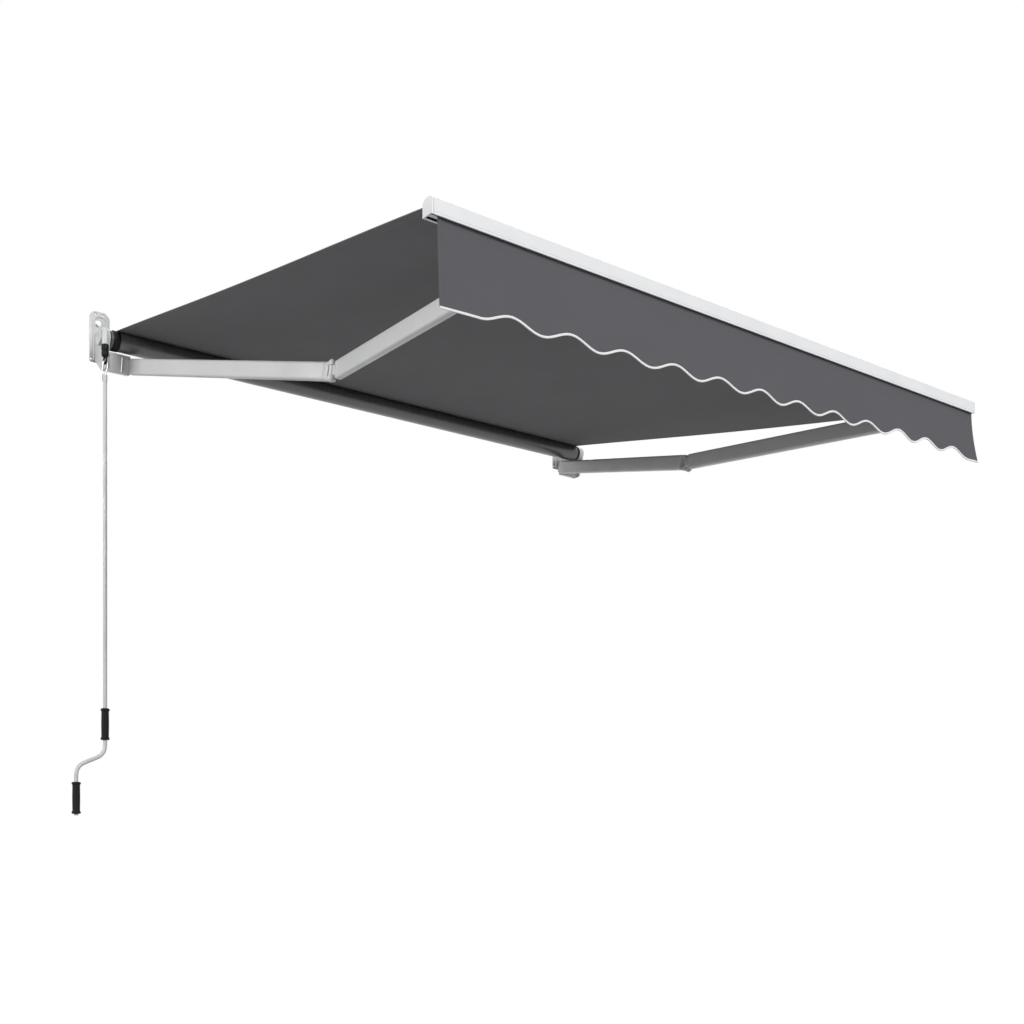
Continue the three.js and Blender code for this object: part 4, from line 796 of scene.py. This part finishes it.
def grip_rings(low, high):
    """A grip's waist swells by a squared sine, flares out near both ends, and has shallow cosine flutes
    along its middle."""
    share = np.linspace(0, 1, 61)
    from_end = np.minimum(share, 1 - share)
    waist = GRIP_WAIST + GRIP_BELLY * np.sin(HALF_TURN * share) ** 2
    flare = GRIP_FLARE * np.exp(-((from_end - 0.045) / 0.035) ** 4)
    side = np.stack([waist + flare, low + (high - low) * share], 1)
    rings = turned(np.concatenate([[(GRIP_BORE, low)], side, [(GRIP_BORE, high)]]), 64)
    around = np.linspace(0, FULL_TURN, 64, endpoint=False)
    middle = np.clip(1.6 * np.sin(HALF_TURN * np.linspace(0, 1, len(rings))) - 0.5, 0, 1)
    flute = 0.5 - 0.5 * np.cos(around * GRIP_FLUTES)
    rings[..., :2] *= 1 - GRIP_FLUTE_DEPTH * (middle[:, None] * flute[None])[..., None]
    return rings


def crank_pieces():
    """A wire hook through the eye, a painted rod with a stepped handle, and two moulded grips."""
    hook_low, hook_high = span("crank_hook")
    rod_low, rod_high = span("crank_rod")
    half, tip, bottom, rod_top = HOOK_HALF, hook_high[2] - HOOK_WIRE, hook_low[2], rod_high[2]
    beside = ROD_RADIUS + HOOK_WIRE + 1.5 * MM
    stem = rounded([(0, rod_top - 18 * MM), (0, tip - HOOK_STEM), (half, tip - HOOK_STEM / 2),
                    (half, tip - half)], half, closed=False)
    over = (0, tip - half) + arc(half, 0, HALF_TURN, 17)
    tail = rounded([(-half, tip - half), (-half, tip - 2 * half), (-beside, tip - HOOK_STEM),
                    (-beside, bottom + HOOK_WIRE / 2), (-beside, bottom)], half, closed=False)
    path = in_crank_plane(np.concatenate([stem[:-1], over, tail[1:]]))
    piece("crank_hook_wire", [shell(tube(path, HOOK_WIRE, 16))], STEEL, "crank_drive",
          ["crank_hook"], sharp=ROUND_SHARP)
    offset = rod_low[0] + ROD_RADIUS - CRANK[0]
    handle_top = rod_low[2] + HANDLE_LENGTH
    route = bend_route([(0, rod_top), (0, handle_top + HANDLE_STEP), (offset, handle_top),
                        (offset, rod_low[2])], HANDLE_BEND)
    rod = shell(tube(in_crank_plane(route), ROD_RADIUS, 24))
    collar = on_crank(drum(4.2 * MM, 9.4 * MM, rod_top - ROD_COLLAR, rod_top, 1.2 * MM), 32)
    piece("crank_rod_painted", [rod, collar], CRANK_PAINT, "crank_drive", ["crank_rod"],
          sharp=ROUND_SHARP)
    for name, x in (("upper_grip", CRANK[0]), ("lower_grip", CRANK[0] + offset)):
        low, high = span(name)
        grip = solid(grip_rings(low[2], high[2]), (x, CRANK[1], 0))
        piece(f"{name}_moulded", [grip], BLACK_PLASTIC, f"{name}_body", [name], sharp=40)


# Folding arms

def link_axes(start, end):
    """Directions of a link: its own y runs back from the far pin to the near one, x lies inboard and
    square to the hinge."""
    back = (start - end) / np.linalg.norm(start - end)
    inboard = np.cross(back, HINGE)
    inboard /= np.linalg.norm(inboard)
    return np.array([inboard, back, np.cross(inboard, back)])


def hinge_axes(axes):
    """The link's directions turned square to its hinge, so that barrels stand along the pin."""
    return np.array([axes[0], np.cross(HINGE, axes[0]), HINGE])


UPPER_AXES = link_axes(SHOULDER, ELBOW)
FORE_AXES = link_axes(ELBOW, WRIST)
UPPER_HINGE = hinge_axes(UPPER_AXES)
FORE_HINGE = hinge_axes(FORE_AXES)
UPPER_LENGTH = np.linalg.norm(ELBOW - SHOULDER)
FORE_LENGTH = np.linalg.norm(WRIST - ELBOW)
TUBE_X = ARM_FACE_OFFSET + ARM_WIDTH / 2


def arm_section(far, near, edge=COLLAR_EDGE):
    """The arm's rounded section carried along the link between two places, in the link's own directions."""
    rings = slab(rounded_rect(ARM_WIDTH, ARM_HEIGHT, ARM_CORNER), far, near, edge)
    return rings[..., [0, 2, 1]] + (TUBE_X, 0, 0)


def barrel(radius, low, high, bore=1 * MM):
    """An upright round boss with softened rims."""
    return turned(drum(bore, radius, low, high, BARREL_EDGE))


def rod_pin(radius, low, high, count=24):
    """A plain round pin."""
    return turned([(radius, low), (radius, high)], count)


def dome(radius, height):
    """A pin head: a low dome on a short straight rim."""
    rim, below = 0.4 * height, -0.4 * MM
    cap = arc(1.0, 0, HALF_TURN / 2, 7) * (radius, height - rim) + (0, rim)
    return turned(np.concatenate([[(0.6 * radius, below), (radius, below)], cap]), 36)


def web(left, right, back, front, low, high):
    """A flat block between two parts of a casting, with rounded upright edges."""
    return slab(rounded(oblong(left, right, back, front), WEB_CORNER, 4), low, high, WEB_EDGE)


def levels(sign, inner, outer):
    """Low and high end of a lug above or below a hinge."""
    return sorted((sign * inner, sign * outer))


def arm_pieces(side, mirrored):
    """Both links of one arm with their castings and pins."""
    upper, fore = f"{side}_upper_arm_body", f"{side}_forearm_body"
    half, tongue_half, wrist_half = ARM_HEIGHT / 2, ELBOW_TONGUE / 2, WRIST_BARREL_HEIGHT / 2
    neck = TUBE_X + ARM_WIDTH / 3

    def painted(name, node, body, *shells):
        """One painted piece of this arm."""
        piece(f"{side}_{name}", shells, ARM_PAINT, body, [f"{side}_{node}"], mirrored)

    def on_upper(rings):
        """Rings laid along the upper arm."""
        return solid(rings, SHOULDER, UPPER_AXES)

    def on_fore(rings):
        """Rings laid along the forearm."""
        return solid(rings, ELBOW, FORE_AXES)

    painted("upper_arm_tube", "upper_arm", upper,
            on_upper(arm_section(-UPPER_LENGTH + ELBOW_SETBACK, -SHOULDER_SETBACK, ARM_EDGE)))
    painted("forearm_tube", "forearm", fore,
            on_fore(arm_section(-FORE_LENGTH + WRIST_SETBACK, -ELBOW_SETBACK, ARM_EDGE)))
    painted("shoulder_knuckle_cast", "shoulder_knuckle", upper,
            solid(barrel(SHOULDER_BARREL, -half, half), SHOULDER, UPPER_HINGE),
            on_upper(arm_section(-SHOULDER_SETBACK + SEAT_GAP, -SHOULDER_BARREL - SHOULDER_RELIEF)),
            on_upper(web(-SHOULDER_BARREL / 2, neck, -SHOULDER_SETBACK + 2 * MM, 0,
                         -SHOULDER_WEB, SHOULDER_WEB)))
    fork = [on_upper(arm_section(-UPPER_LENGTH + ELBOW_BARREL + COLLAR_RELIEF / 2,
                                 -UPPER_LENGTH + ELBOW_SETBACK - SEAT_GAP))]
    heads = []
    for sign in (-1, 1):
        ends = levels(sign, tongue_half + SEAT_GAP, half)
        lug_web = web(-1 * MM, neck, 0, ELBOW_BARREL + COLLAR_RELIEF, *ends)
        fork += [solid(barrel(ELBOW_LUG, *ends), ELBOW, UPPER_HINGE), solid(lug_web, ELBOW, UPPER_HINGE)]
        heads.append(solid(dome(9 * MM, 6 * MM), ELBOW + HINGE * sign * half, flipped(UPPER_HINGE, sign)))
    painted("elbow_fork_cast", "elbow_fork", upper, *fork)
    heads.append(solid(rod_pin(6 * MM, -half, half), ELBOW, UPPER_HINGE))
    painted("elbow_pin_turned", "elbow_pin", upper, *heads)
    tongue_web = web(ELBOW_TONGUE_RECESS - ELBOW_TONGUE_RADIUS, neck, -ELBOW_BARREL - COLLAR_RELIEF, 0,
                     -tongue_half, tongue_half)
    painted("elbow_tongue_cast", "elbow_tongue", fore,
            solid(barrel(ELBOW_TONGUE_RADIUS, -tongue_half, tongue_half), ELBOW, FORE_HINGE),
            solid(tongue_web, ELBOW, FORE_HINGE),
            on_fore(arm_section(-ELBOW_SETBACK + SEAT_GAP, -ELBOW_BARREL - COLLAR_RELIEF / 2)))
    wrist_web = web(-WRIST_BARREL / 2, WRIST_BARREL - 1 * MM, 0, WRIST_BARREL + COLLAR_RELIEF + 2 * MM,
                    -wrist_half, wrist_half)
    painted("wrist_knuckle_cast", "wrist_knuckle", fore,
            solid(barrel(WRIST_BARREL, -wrist_half, wrist_half, bore=5.6 * MM), WRIST, FORE_HINGE),
            solid(wrist_web, WRIST, FORE_HINGE),
            on_fore(arm_section(-FORE_LENGTH + WRIST_BARREL + COLLAR_RELIEF,
                                -FORE_LENGTH + WRIST_SETBACK - SEAT_GAP)))


def shoulder_fork(side, mirrored):
    """A flange against the cheek and two lugs that reach over and under the arm's barrel, with a headed
    pin through them."""
    seat = CHEEK_IN + SEAT_GAP - SHOULDER[0]
    inner = ARM_HEIGHT / 2 + LUG_CLEARANCE
    outer = inner + LUG_THICKNESS
    root = seat + FLANGE_DEPTH / 2
    lug = np.concatenate([[(root, LUG_RADIUS), (root, -LUG_RADIUS)],
                          arc(LUG_RADIUS, -HALF_TURN / 2, HALF_TURN / 2, 25)])
    parts = [slab(lug, *levels(sign, inner, outer), LUG_EDGE) for sign in (-1, 1)]
    flange = rounded(oblong(-LUG_RADIUS, LUG_RADIUS, -outer, outer), FLANGE_CORNER, 5)
    parts.append(slab(flange, seat, seat + FLANGE_DEPTH, LUG_EDGE)[..., [2, 0, 1]])
    parts.append(web(seat + 1 * MM, -SHOULDER_BARREL - 9 * MM, -LUG_RADIUS, LUG_RADIUS,
                     -outer + 1 * MM, outer - 1 * MM))
    shells = [solid(part, SHOULDER, HINGE_AXES) for part in parts]
    piece(f"{side}_shoulder_fork_cast", shells, ARM_PAINT, "wall_frame",
          [f"{side}_shoulder_bracket"], mirrored)
    head = solid(dome(9 * MM, 3 * MM), SHOULDER - HINGE * outer, flipped(HINGE_AXES, -1))
    shaft = solid(rod_pin(7 * MM, -outer, outer + 0.6 * MM, 32), SHOULDER, HINGE_AXES)
    piece(f"{side}_shoulder_pin_turned", [head, shaft], STEEL, "wall_frame",
          [f"{side}_shoulder_pin"], mirrored)


def wrist_fork(side, mirrored):
    """Fork under the bar that holds the forearm's barrel: two lugs, a wall in front of them, and a braced
    flange below the bar."""
    low, high = span("left_front_bracket")
    half, reach, wall = WRIST_FORK_HALF, WRIST_FORK_REACH, WRIST_FORK_WALL
    inner = WRIST_BARREL_HEIGHT / 2 + LUG_CLEARANCE
    outer = inner + WRIST_LUG_THICKNESS
    outline = np.concatenate([[(-half, -reach - wall), (half, -reach - wall), (half, -WRIST_BARREL)],
                              arc(WRIST_BARREL, 0, HALF_TURN, 25), [(-half, -WRIST_BARREL)]])
    parts = [slab(outline, *levels(sign, inner, outer), WEB_EDGE) for sign in (-1, 1)]
    parts.append(web(-half, half, -reach - wall, -reach, -outer, outer))
    shells = [solid(part, WRIST, HINGE_AXES) for part in parts]
    left, right, wall_back = WRIST[0] - half, WRIST[0] + half, WRIST[1] - reach - wall / 3
    under = high[2] - WRIST_FLANGE / 2
    shells += [shell(web(left, right, low[1], wall_back, high[2] - WRIST_FLANGE, high[2])),
               shell(web(left, right, wall_back - wall, wall_back, WRIST[2], under))]
    root = wall_back - wall + 1 * MM
    brace = rounded([(root, WRIST[2] + 6 * MM), (root, under), (low[1] + 3 * MM, under)], 2 * MM, 3)
    for spot in (left + 4 * MM, right - 4 * MM):
        shells.append(solid(slab(brace, spot - RIB_HALF, spot + RIB_HALF, 0.8 * MM), axes=ALONG_X))
    piece(f"{side}_wrist_fork_cast", shells, ARM_PAINT, "front_bar_body",
          [f"{side}_front_bracket"], mirrored)
    shells = [solid(rod_pin(5 * MM, -outer, outer), WRIST, HINGE_AXES)]
    for sign in (-1, 1):
        shells.append(solid(dome(8 * MM, 5 * MM), WRIST + HINGE * sign * outer, flipped(HINGE_AXES, sign)))
    piece(f"{side}_wrist_pin_turned", shells, STEEL, "front_bar_body",
          [f"{side}_wrist_pin"], mirrored)


# Front bar

def crown_arc():
    """The bar's arched top from the front shoulder over to the back shoulder."""
    rise = math.sqrt(BAR_CROWN ** 2 - (BAR_DEPTH / 2) ** 2)
    start = math.atan2(rise, BAR_DEPTH / 2)
    return arc(BAR_CROWN, start, HALF_TURN - start, 20) + (BAR_DEPTH / 2, BAR_SHOULDER - rise)


def groove(middle, neck, side, depth):
    """A groove in the bar: a narrow neck through the wall and a wider room behind it, across and inwards."""
    half = np.array([(neck, 0), (neck, BAR_WALL), (side, BAR_WALL), (side, BAR_WALL + depth)])
    return np.concatenate([half * (-1, 1), half[::-1]]) + (middle, 0)


def bar_outline():
    """The bar's section, forwards from its back and upwards from its bottom: a bolt groove and a cloth
    groove below, a lip and a fine line in front, a crown on top and the canopy's channel behind."""
    corner, line, lip = 0.6 * MM, 0.7 * MM, BAR_DEPTH - BAR_WALL
    bolt_groove = groove(13 * MM, 5 * MM, 8 * MM, 5.5 * MM)
    cloth_groove = groove(30.5 * MM, 1.5 * MM, 3.5 * MM, 7 * MM)
    channel = groove(BAR_CHANNEL_LEVEL, 1.5 * MM, 3.5 * MM, 7 * MM)[::-1, ::-1]
    front = [(lip, 0), (lip, -BAR_LIP + BAR_SOFT), (lip + BAR_SOFT, -BAR_LIP),
             (BAR_DEPTH - BAR_SOFT, -BAR_LIP), (BAR_DEPTH, -BAR_LIP + BAR_SOFT), (BAR_DEPTH, 2.2 * MM),
             (BAR_DEPTH - line, 2.6 * MM), (BAR_DEPTH - line, 3.4 * MM), (BAR_DEPTH, 3.8 * MM)]
    return np.concatenate([[(corner, 0)], bolt_groove, cloth_groove, front, crown_arc(), channel,
                           [(0, corner)]])


def along_bar(rings):
    """Rings of the bar's section laid along X, with its back and bottom at their places."""
    return shell(rings[..., [2, 0, 1]] * (1, -1, 1) + (0, BAR_BACK, BAR_BOTTOM))


def front_bar_pieces():
    """The white bar along the awning's front, with painted shade inside its grooves, and the plain caps on
    its ends.
    """
    section = bar_outline()
    rings = stacked([section] * 2, (BAR_LOW[0], BAR_HIGH[0]))
    bar = piece("front_bar_profile", [along_bar(rings)], BAR_PAINT, "front_bar_body",
                ["front_bar"], sharp=25)
    # Faces inside the bolt groove, the cloth groove and the canopy's channel take the near-black material,
    # which is painted shade in the grooves.
    bar.data.materials.append(BAR_GROOVE_PAINTED_SHADE)
    forwards, up = ((section + np.roll(section, -1, 0)) / 2).T
    painted_shade_faces = (forwards > 1 * MM) & (forwards < BAR_DEPTH - 1 * MM) & (up > 0.1 * MM) & (up < BAR_SHOULDER)
    finish = np.zeros(len(bar.data.polygons), np.int32)
    finish[:len(section)] = painted_shade_faces
    bar.data.polygons.foreach_set("material_index", finish)
    lip = BAR_DEPTH - BAR_WALL
    outline = np.concatenate([[(0, 0), (lip, 0), (lip, -BAR_LIP), (BAR_DEPTH, -BAR_LIP)], crown_arc()])
    cap = along_bar(slab(outline, CAP_LOW[0], CAP_HIGH[0], CAP_EDGE))
    for side, mirrored in SIDES:
        piece(f"front_bar_{side}_cap_moulded", [cap], BAR_PAINT, "front_bar_body",
              [f"front_bar_{side}_cap"], mirrored)


# Cloth

def fine_ends(start, end, edge, fine, coarse):
    """Places from start to end, closer together within an edge's width of both ends."""
    return np.concatenate([np.linspace(start, start + edge, fine),
                           np.linspace(start + edge, end - edge, coarse)[1:-1],
                           np.linspace(end - edge, end, fine)])


def hemmed(edge_in, gain):
    """Half the cloth's thickness at a distance from its side: a steep smooth step up to the double hem."""
    step = (edge_in - HEM + 1 * MM) / (0.4 * MM)
    return 0.5 * CLOTH * (1 + gain / (1 + np.exp(np.minimum(step, 60))))


def canopy_line(count):
    """The canopy's line from the top of the roll to the bar's channel: a straight tangent. Gives points,
    the outward direction and the upward one in the y-z plane, the length, and each point's share of it."""
    lift = ROLL_RADIUS + SEAT_GAP + CLOTH / 2
    reach = CHANNEL - ROLLER[1:]
    distance = np.linalg.norm(reach)
    slope = math.atan2(-reach[1], -reach[0]) + math.asin(lift / distance)
    length = math.sqrt(distance ** 2 - lift ** 2) + BAR_WALL
    out = np.array([-math.cos(slope), -math.sin(slope)])
    up = np.array([-math.sin(slope), math.cos(slope)])
    share = np.linspace(0, 1, count)
    start = ROLLER[1:] + up * lift
    return start + out * (length * share)[:, None], out, up, length, share


def canopy_piece():
    """One cloth from roll to bar. Its sag is a squared sine along the pull and largest in the middle of the
    width, the hems at both sides are double, and very shallow tension folds run along the pull."""
    width = CANOPY_HIGH[0] - CANOPY_LOW[0]
    across = fine_ends(0, width, HEM, 7, 141)
    line, out, up, length, share = canopy_line(73)
    side = across / width
    sag = CANOPY_SAG * (0.7 + 0.6 * (4 * side * (1 - side)))[:, None] * np.sin(HALF_TURN * share) ** 2
    fading = np.exp(-share * 9) * np.sin(HALF_TURN * np.minimum(share * 6, 1))
    folds = CANOPY_FOLD * np.sin(across * 21)[:, None] * fading[None]
    hem = hemmed(np.minimum(across, width - across), 0.8)
    surfaces = []
    for sign in (1, -1):
        offset = -sag + folds + sign * hem[:, None]
        surfaces.append(np.concatenate([
            np.broadcast_to((CANOPY_LOW[0] + across)[:, None, None], (len(across), len(share), 1)),
            line[None] + offset[..., None] * up], 2))
    rings = np.concatenate([surfaces[0], surfaces[1][:, ::-1]], 1)
    run = length * share
    cloth = piece("canopy_cloth_sheet", [shell(rings)], CANOPY_CLOTH_PAINTED_LIGHT, "wall_frame",
                  ["canopy"], uv=on_map(across[:, None], np.concatenate([run, run[::-1]])), sharp=ROUND_SHARP)
    return cloth, out, length


def valance_share(x):
    """Place along the valance, from 0 at its left end to 1 at its right end."""
    return (x - VALANCE_START) / (VALANCE_END - VALANCE_START)


def swell(distance, reach):
    """A bell curve: 1 at no distance, fading with the square of the distance over the reach."""
    return np.exp(-(distance / reach) ** 2)


def valance_drop(x):
    """Depth of the scalloped edge below the bar: a slow taper from left to right, less a cosine wave between
    the flat first and last lobes, and a little lower at the free right corner. The number of waves per metre
    grows evenly from the left pitch to the right one."""
    share = valance_share(x)
    run = VALANCE_END - VALANCE_START - FIRST_LOBE
    past = np.maximum(x + valance_draw(x, 1.0) - VALANCE_START - FIRST_LOBE, 0)
    growth = (1 / SCALLOP_RIGHT_PITCH - 1 / SCALLOP_LEFT_PITCH) / (2 * run)
    waves = np.minimum(past / SCALLOP_LEFT_PITCH + growth * past ** 2, SCALLOPS)
    scallop = SCALLOP_HEIGHT * (1 - np.cos(FULL_TURN * waves)) / 2
    taper = VALANCE_LEFT_DROP + (VALANCE_RIGHT_DROP - VALANCE_LEFT_DROP) * share
    return taper + CORNER_SAG * swell(1 - share, 0.045) - BINDING_HEIGHT / 2 - scallop


def valance_sway(x, depth):
    """How far the hanging cloth stands in front of its channel: nothing at the top, then long shallow waves
    and a small outward flare at the right edge, growing with the square of the depth."""
    share = valance_share(x)
    wave = VALANCE_LONG_WAVE * np.sin(share * 17 + 0.6) + VALANCE_SHORT_WAVE * np.sin(share * 41)
    return (wave + VALANCE_FLARE * swell(1 - share, 0.03)) * depth ** 2


def valance_draw(x, depth):
    """Sideways shift of the free ends, growing with the depth to the power 1.5: the left edge draws in and
    the right edge stands out."""
    share = valance_share(x)
    left, right = VALANCE_LEFT_DRAW * swell(share, 0.06), VALANCE_RIGHT_DRAW * swell(1 - share, 0.04)
    return (left + right) * depth ** 1.5


def valance_pieces():
    """The hanging front cloth with its hemmed ends, and the white binding folded over its scalloped edge: a
    rounded section carried along that edge."""
    x = fine_ends(VALANCE_START, VALANCE_END, HEM + 4 * MM, 25, 381)
    middle_y = (VALANCE_LOW[1] + VALANCE_HIGH[1]) / 2
    top = VALANCE_HIGH[2]
    drop = valance_drop(x)
    depth = top - BAR_BOTTOM + drop
    height = top - depth[:, None] * np.linspace(0, 1, 25)[None]
    below = np.clip((BAR_BOTTOM - height) / drop[:, None], 0, 1)
    sideways = x[:, None] + valance_draw(x[:, None], below)
    hanging = middle_y - valance_sway(x[:, None], below)
    edge_in = np.minimum(x - x[0], x[-1] - x)
    seam = VALANCE_SEAM * swell(edge_in - HEM, 1.3 * MM)
    out_of_bar = np.clip(below / 0.02, 0, 1)
    surfaces = []
    for sign, seam_share in ((-1, 0.5), (1, 0.0)):
        extra = hemmed(edge_in, 0.9) - 0.5 * CLOTH - seam * seam_share
        thick = 0.5 * CLOTH + extra[:, None] * out_of_bar
        surfaces.append(np.stack([sideways, hanging + sign * thick, height], -1))
    rings = np.concatenate([surfaces[0], surfaces[1][:, ::-1]], 1)
    run = top - height
    cloth = piece("valance_cloth_sheet", [shell(rings)], VALANCE_CLOTH, "front_bar_body",
                  ["valance"], uv=on_map(x[:, None], np.concatenate([run, run[:, ::-1]], 1)),
                  sharp=ROUND_SHARP)
    path = np.column_stack([x + valance_draw(x, 1.0), middle_y - valance_sway(x, 1.0), BAR_BOTTOM - drop])
    along = np.gradient(path[:, [0, 2]], axis=0)
    along /= np.linalg.norm(along, axis=1)[:, None]
    section = rounded_rect(BINDING_THICKNESS, BINDING_HEIGHT, BINDING_CORNER, 4)
    down = np.column_stack([-along[:, 1], np.zeros(len(x)), along[:, 0]])
    tape = path[:, None] + section[None, :, :1] * Y + section[None, :, 1:] * down[:, None]
    distance = np.concatenate([[0], np.cumsum(np.linalg.norm(np.diff(path, axis=0), axis=1))])
    binding = piece("valance_binding_tape", [shell(tape)], BINDING_CLOTH, "front_bar_body",
                    ["valance_binding"], uv=on_map(distance[:, None], section[None, :, 1]), sharp=ROUND_SHARP)


# Making

for side_name, is_mirrored in SIDES:
    wall_plate(side_name, is_mirrored)
    end_bracket(side_name, is_mirrored)
    arm_pieces(side_name, is_mirrored)
    shoulder_fork(side_name, is_mirrored)
    wrist_fork(side_name, is_mirrored)
roller_pieces()
gear_pieces()
crank_pieces()
front_bar_pieces()
canopy, canopy_out, canopy_length = canopy_piece()
valance_pieces()

# Carried-over CAD nodes take the finish of their kind.
NODE_FINISH = {
    "bolt": STEEL, "bush": BLACK_PLASTIC, "worm": STEEL, "spring": STEEL, "anchor": STEEL, "keder": KEDER,
    "roller_tube": TUBE_METAL, "pin": STEEL,
}
for name, node in frame["nodes"].items():
    for key, finish in NODE_FINISH.items():
        if key in name:
            node.data.materials.clear()
            node.data.materials.append(finish)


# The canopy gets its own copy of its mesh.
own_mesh(canopy)

# Floor, light and camera
FLOOR_LEVEL = -2.45
FLOOR_HALF = 40.0
FLOOR_TONE = 0.33
AMBIENT = 0.38
WHITE = (1, 1, 1, 1)
LAMPS = (
    # name, place, target, width and height in metres, watts
    ("key", (0.4, -13.5, 4.8), (1.2, -1.8, -0.4), 5.0, 5.0, 1150),
    ("side", (-7.0, -1.4, 1.2), (0.2, -1.4, -0.3), 5.0, 0.9, 310),
    ("back", (10.0, 6.5, 5.0), (1.2, -1.0, -0.3), 4.0, 4.0, 380),
)
IMAGE = 1024
SENSOR = 36.0
FOCAL, CENTRE_X, CENTRE_Y = 1153.27, 357.76, 821.68
CAMERA_PLACE = (-1.68487, -4.34329, -1.90592)
CAMERA_HEADING = -33.84
CAMERA_REACH = 200.0


def seen_directly(tree):
    """One for rays that show the background itself, straight or by way of metal and glass, and nothing for
    light."""
    ray = tree.nodes.new("ShaderNodeLightPath").outputs
    seen = math_node(tree, "MAXIMUM", ray["Is Camera Ray"], ray["Is Glossy Ray"])
    return math_node(tree, "MAXIMUM", seen, ray["Is Transmission Ray"])


corners = [(x, y, FLOOR_LEVEL) for x, y in oblong(-FLOOR_HALF, FLOOR_HALF, -FLOOR_HALF, FLOOR_HALF)]
floor_mesh = bpy.data.meshes.new("floor")
floor_mesh.from_pydata(corners, [], [(0, 1, 2, 3)])
floor = linked("floor", floor_mesh)
floor_paint = coated("pale_floor", (grey(FLOOR_TONE), grey(FLOOR_TONE * 0.97)), (0.6, 40.0), (0.8, 0.95),
                     (0.02, 0.001), Specular_IOR_Level=0.0, Emission_Color=WHITE)
floor_mesh.materials.append(floor_paint)
tree = floor_paint.node_tree
lift = math_node(tree, "MULTIPLY", seen_directly(tree), 1.0 - FLOOR_TONE * AMBIENT)
tree.links.new(lift, tree.nodes["Principled BSDF"].inputs["Emission Strength"])

for name, place, target, width, height, watts in LAMPS:
    lamp = bpy.data.lights.new(name, "AREA")
    lamp.shape = "RECTANGLE"
    lamp.size = width
    lamp.size_y = height
    lamp.energy = watts
    light = linked(name, lamp)
    light.location = place
    light.rotation_euler = (Vector(target) - Vector(place)).to_track_quat("-Z", "Y").to_euler()

world = bpy.data.worlds.new("studio")
world.use_nodes = True
bpy.context.scene.world = world
tree = world.node_tree
background = tree.nodes["Background"].inputs
background["Color"].default_value = WHITE
strength = math_node(tree, "MULTIPLY_ADD", seen_directly(tree), 1.0 - AMBIENT, AMBIENT)
tree.links.new(strength, background["Strength"])

camera_data = bpy.data.cameras.new("camera")
camera_data.sensor_width = SENSOR
camera_data.lens = FOCAL * SENSOR / IMAGE
camera_data.shift_x = (IMAGE / 2 - CENTRE_X) / IMAGE
camera_data.shift_y = (CENTRE_Y - IMAGE / 2) / IMAGE
camera_data.clip_end = CAMERA_REACH
camera = linked("camera", camera_data)
camera.location = CAMERA_PLACE
camera.rotation_euler = (math.pi / 2, 0, math.radians(CAMERA_HEADING))
bpy.context.scene.camera = camera
bpy.context.scene.view_settings.view_transform = "Standard"
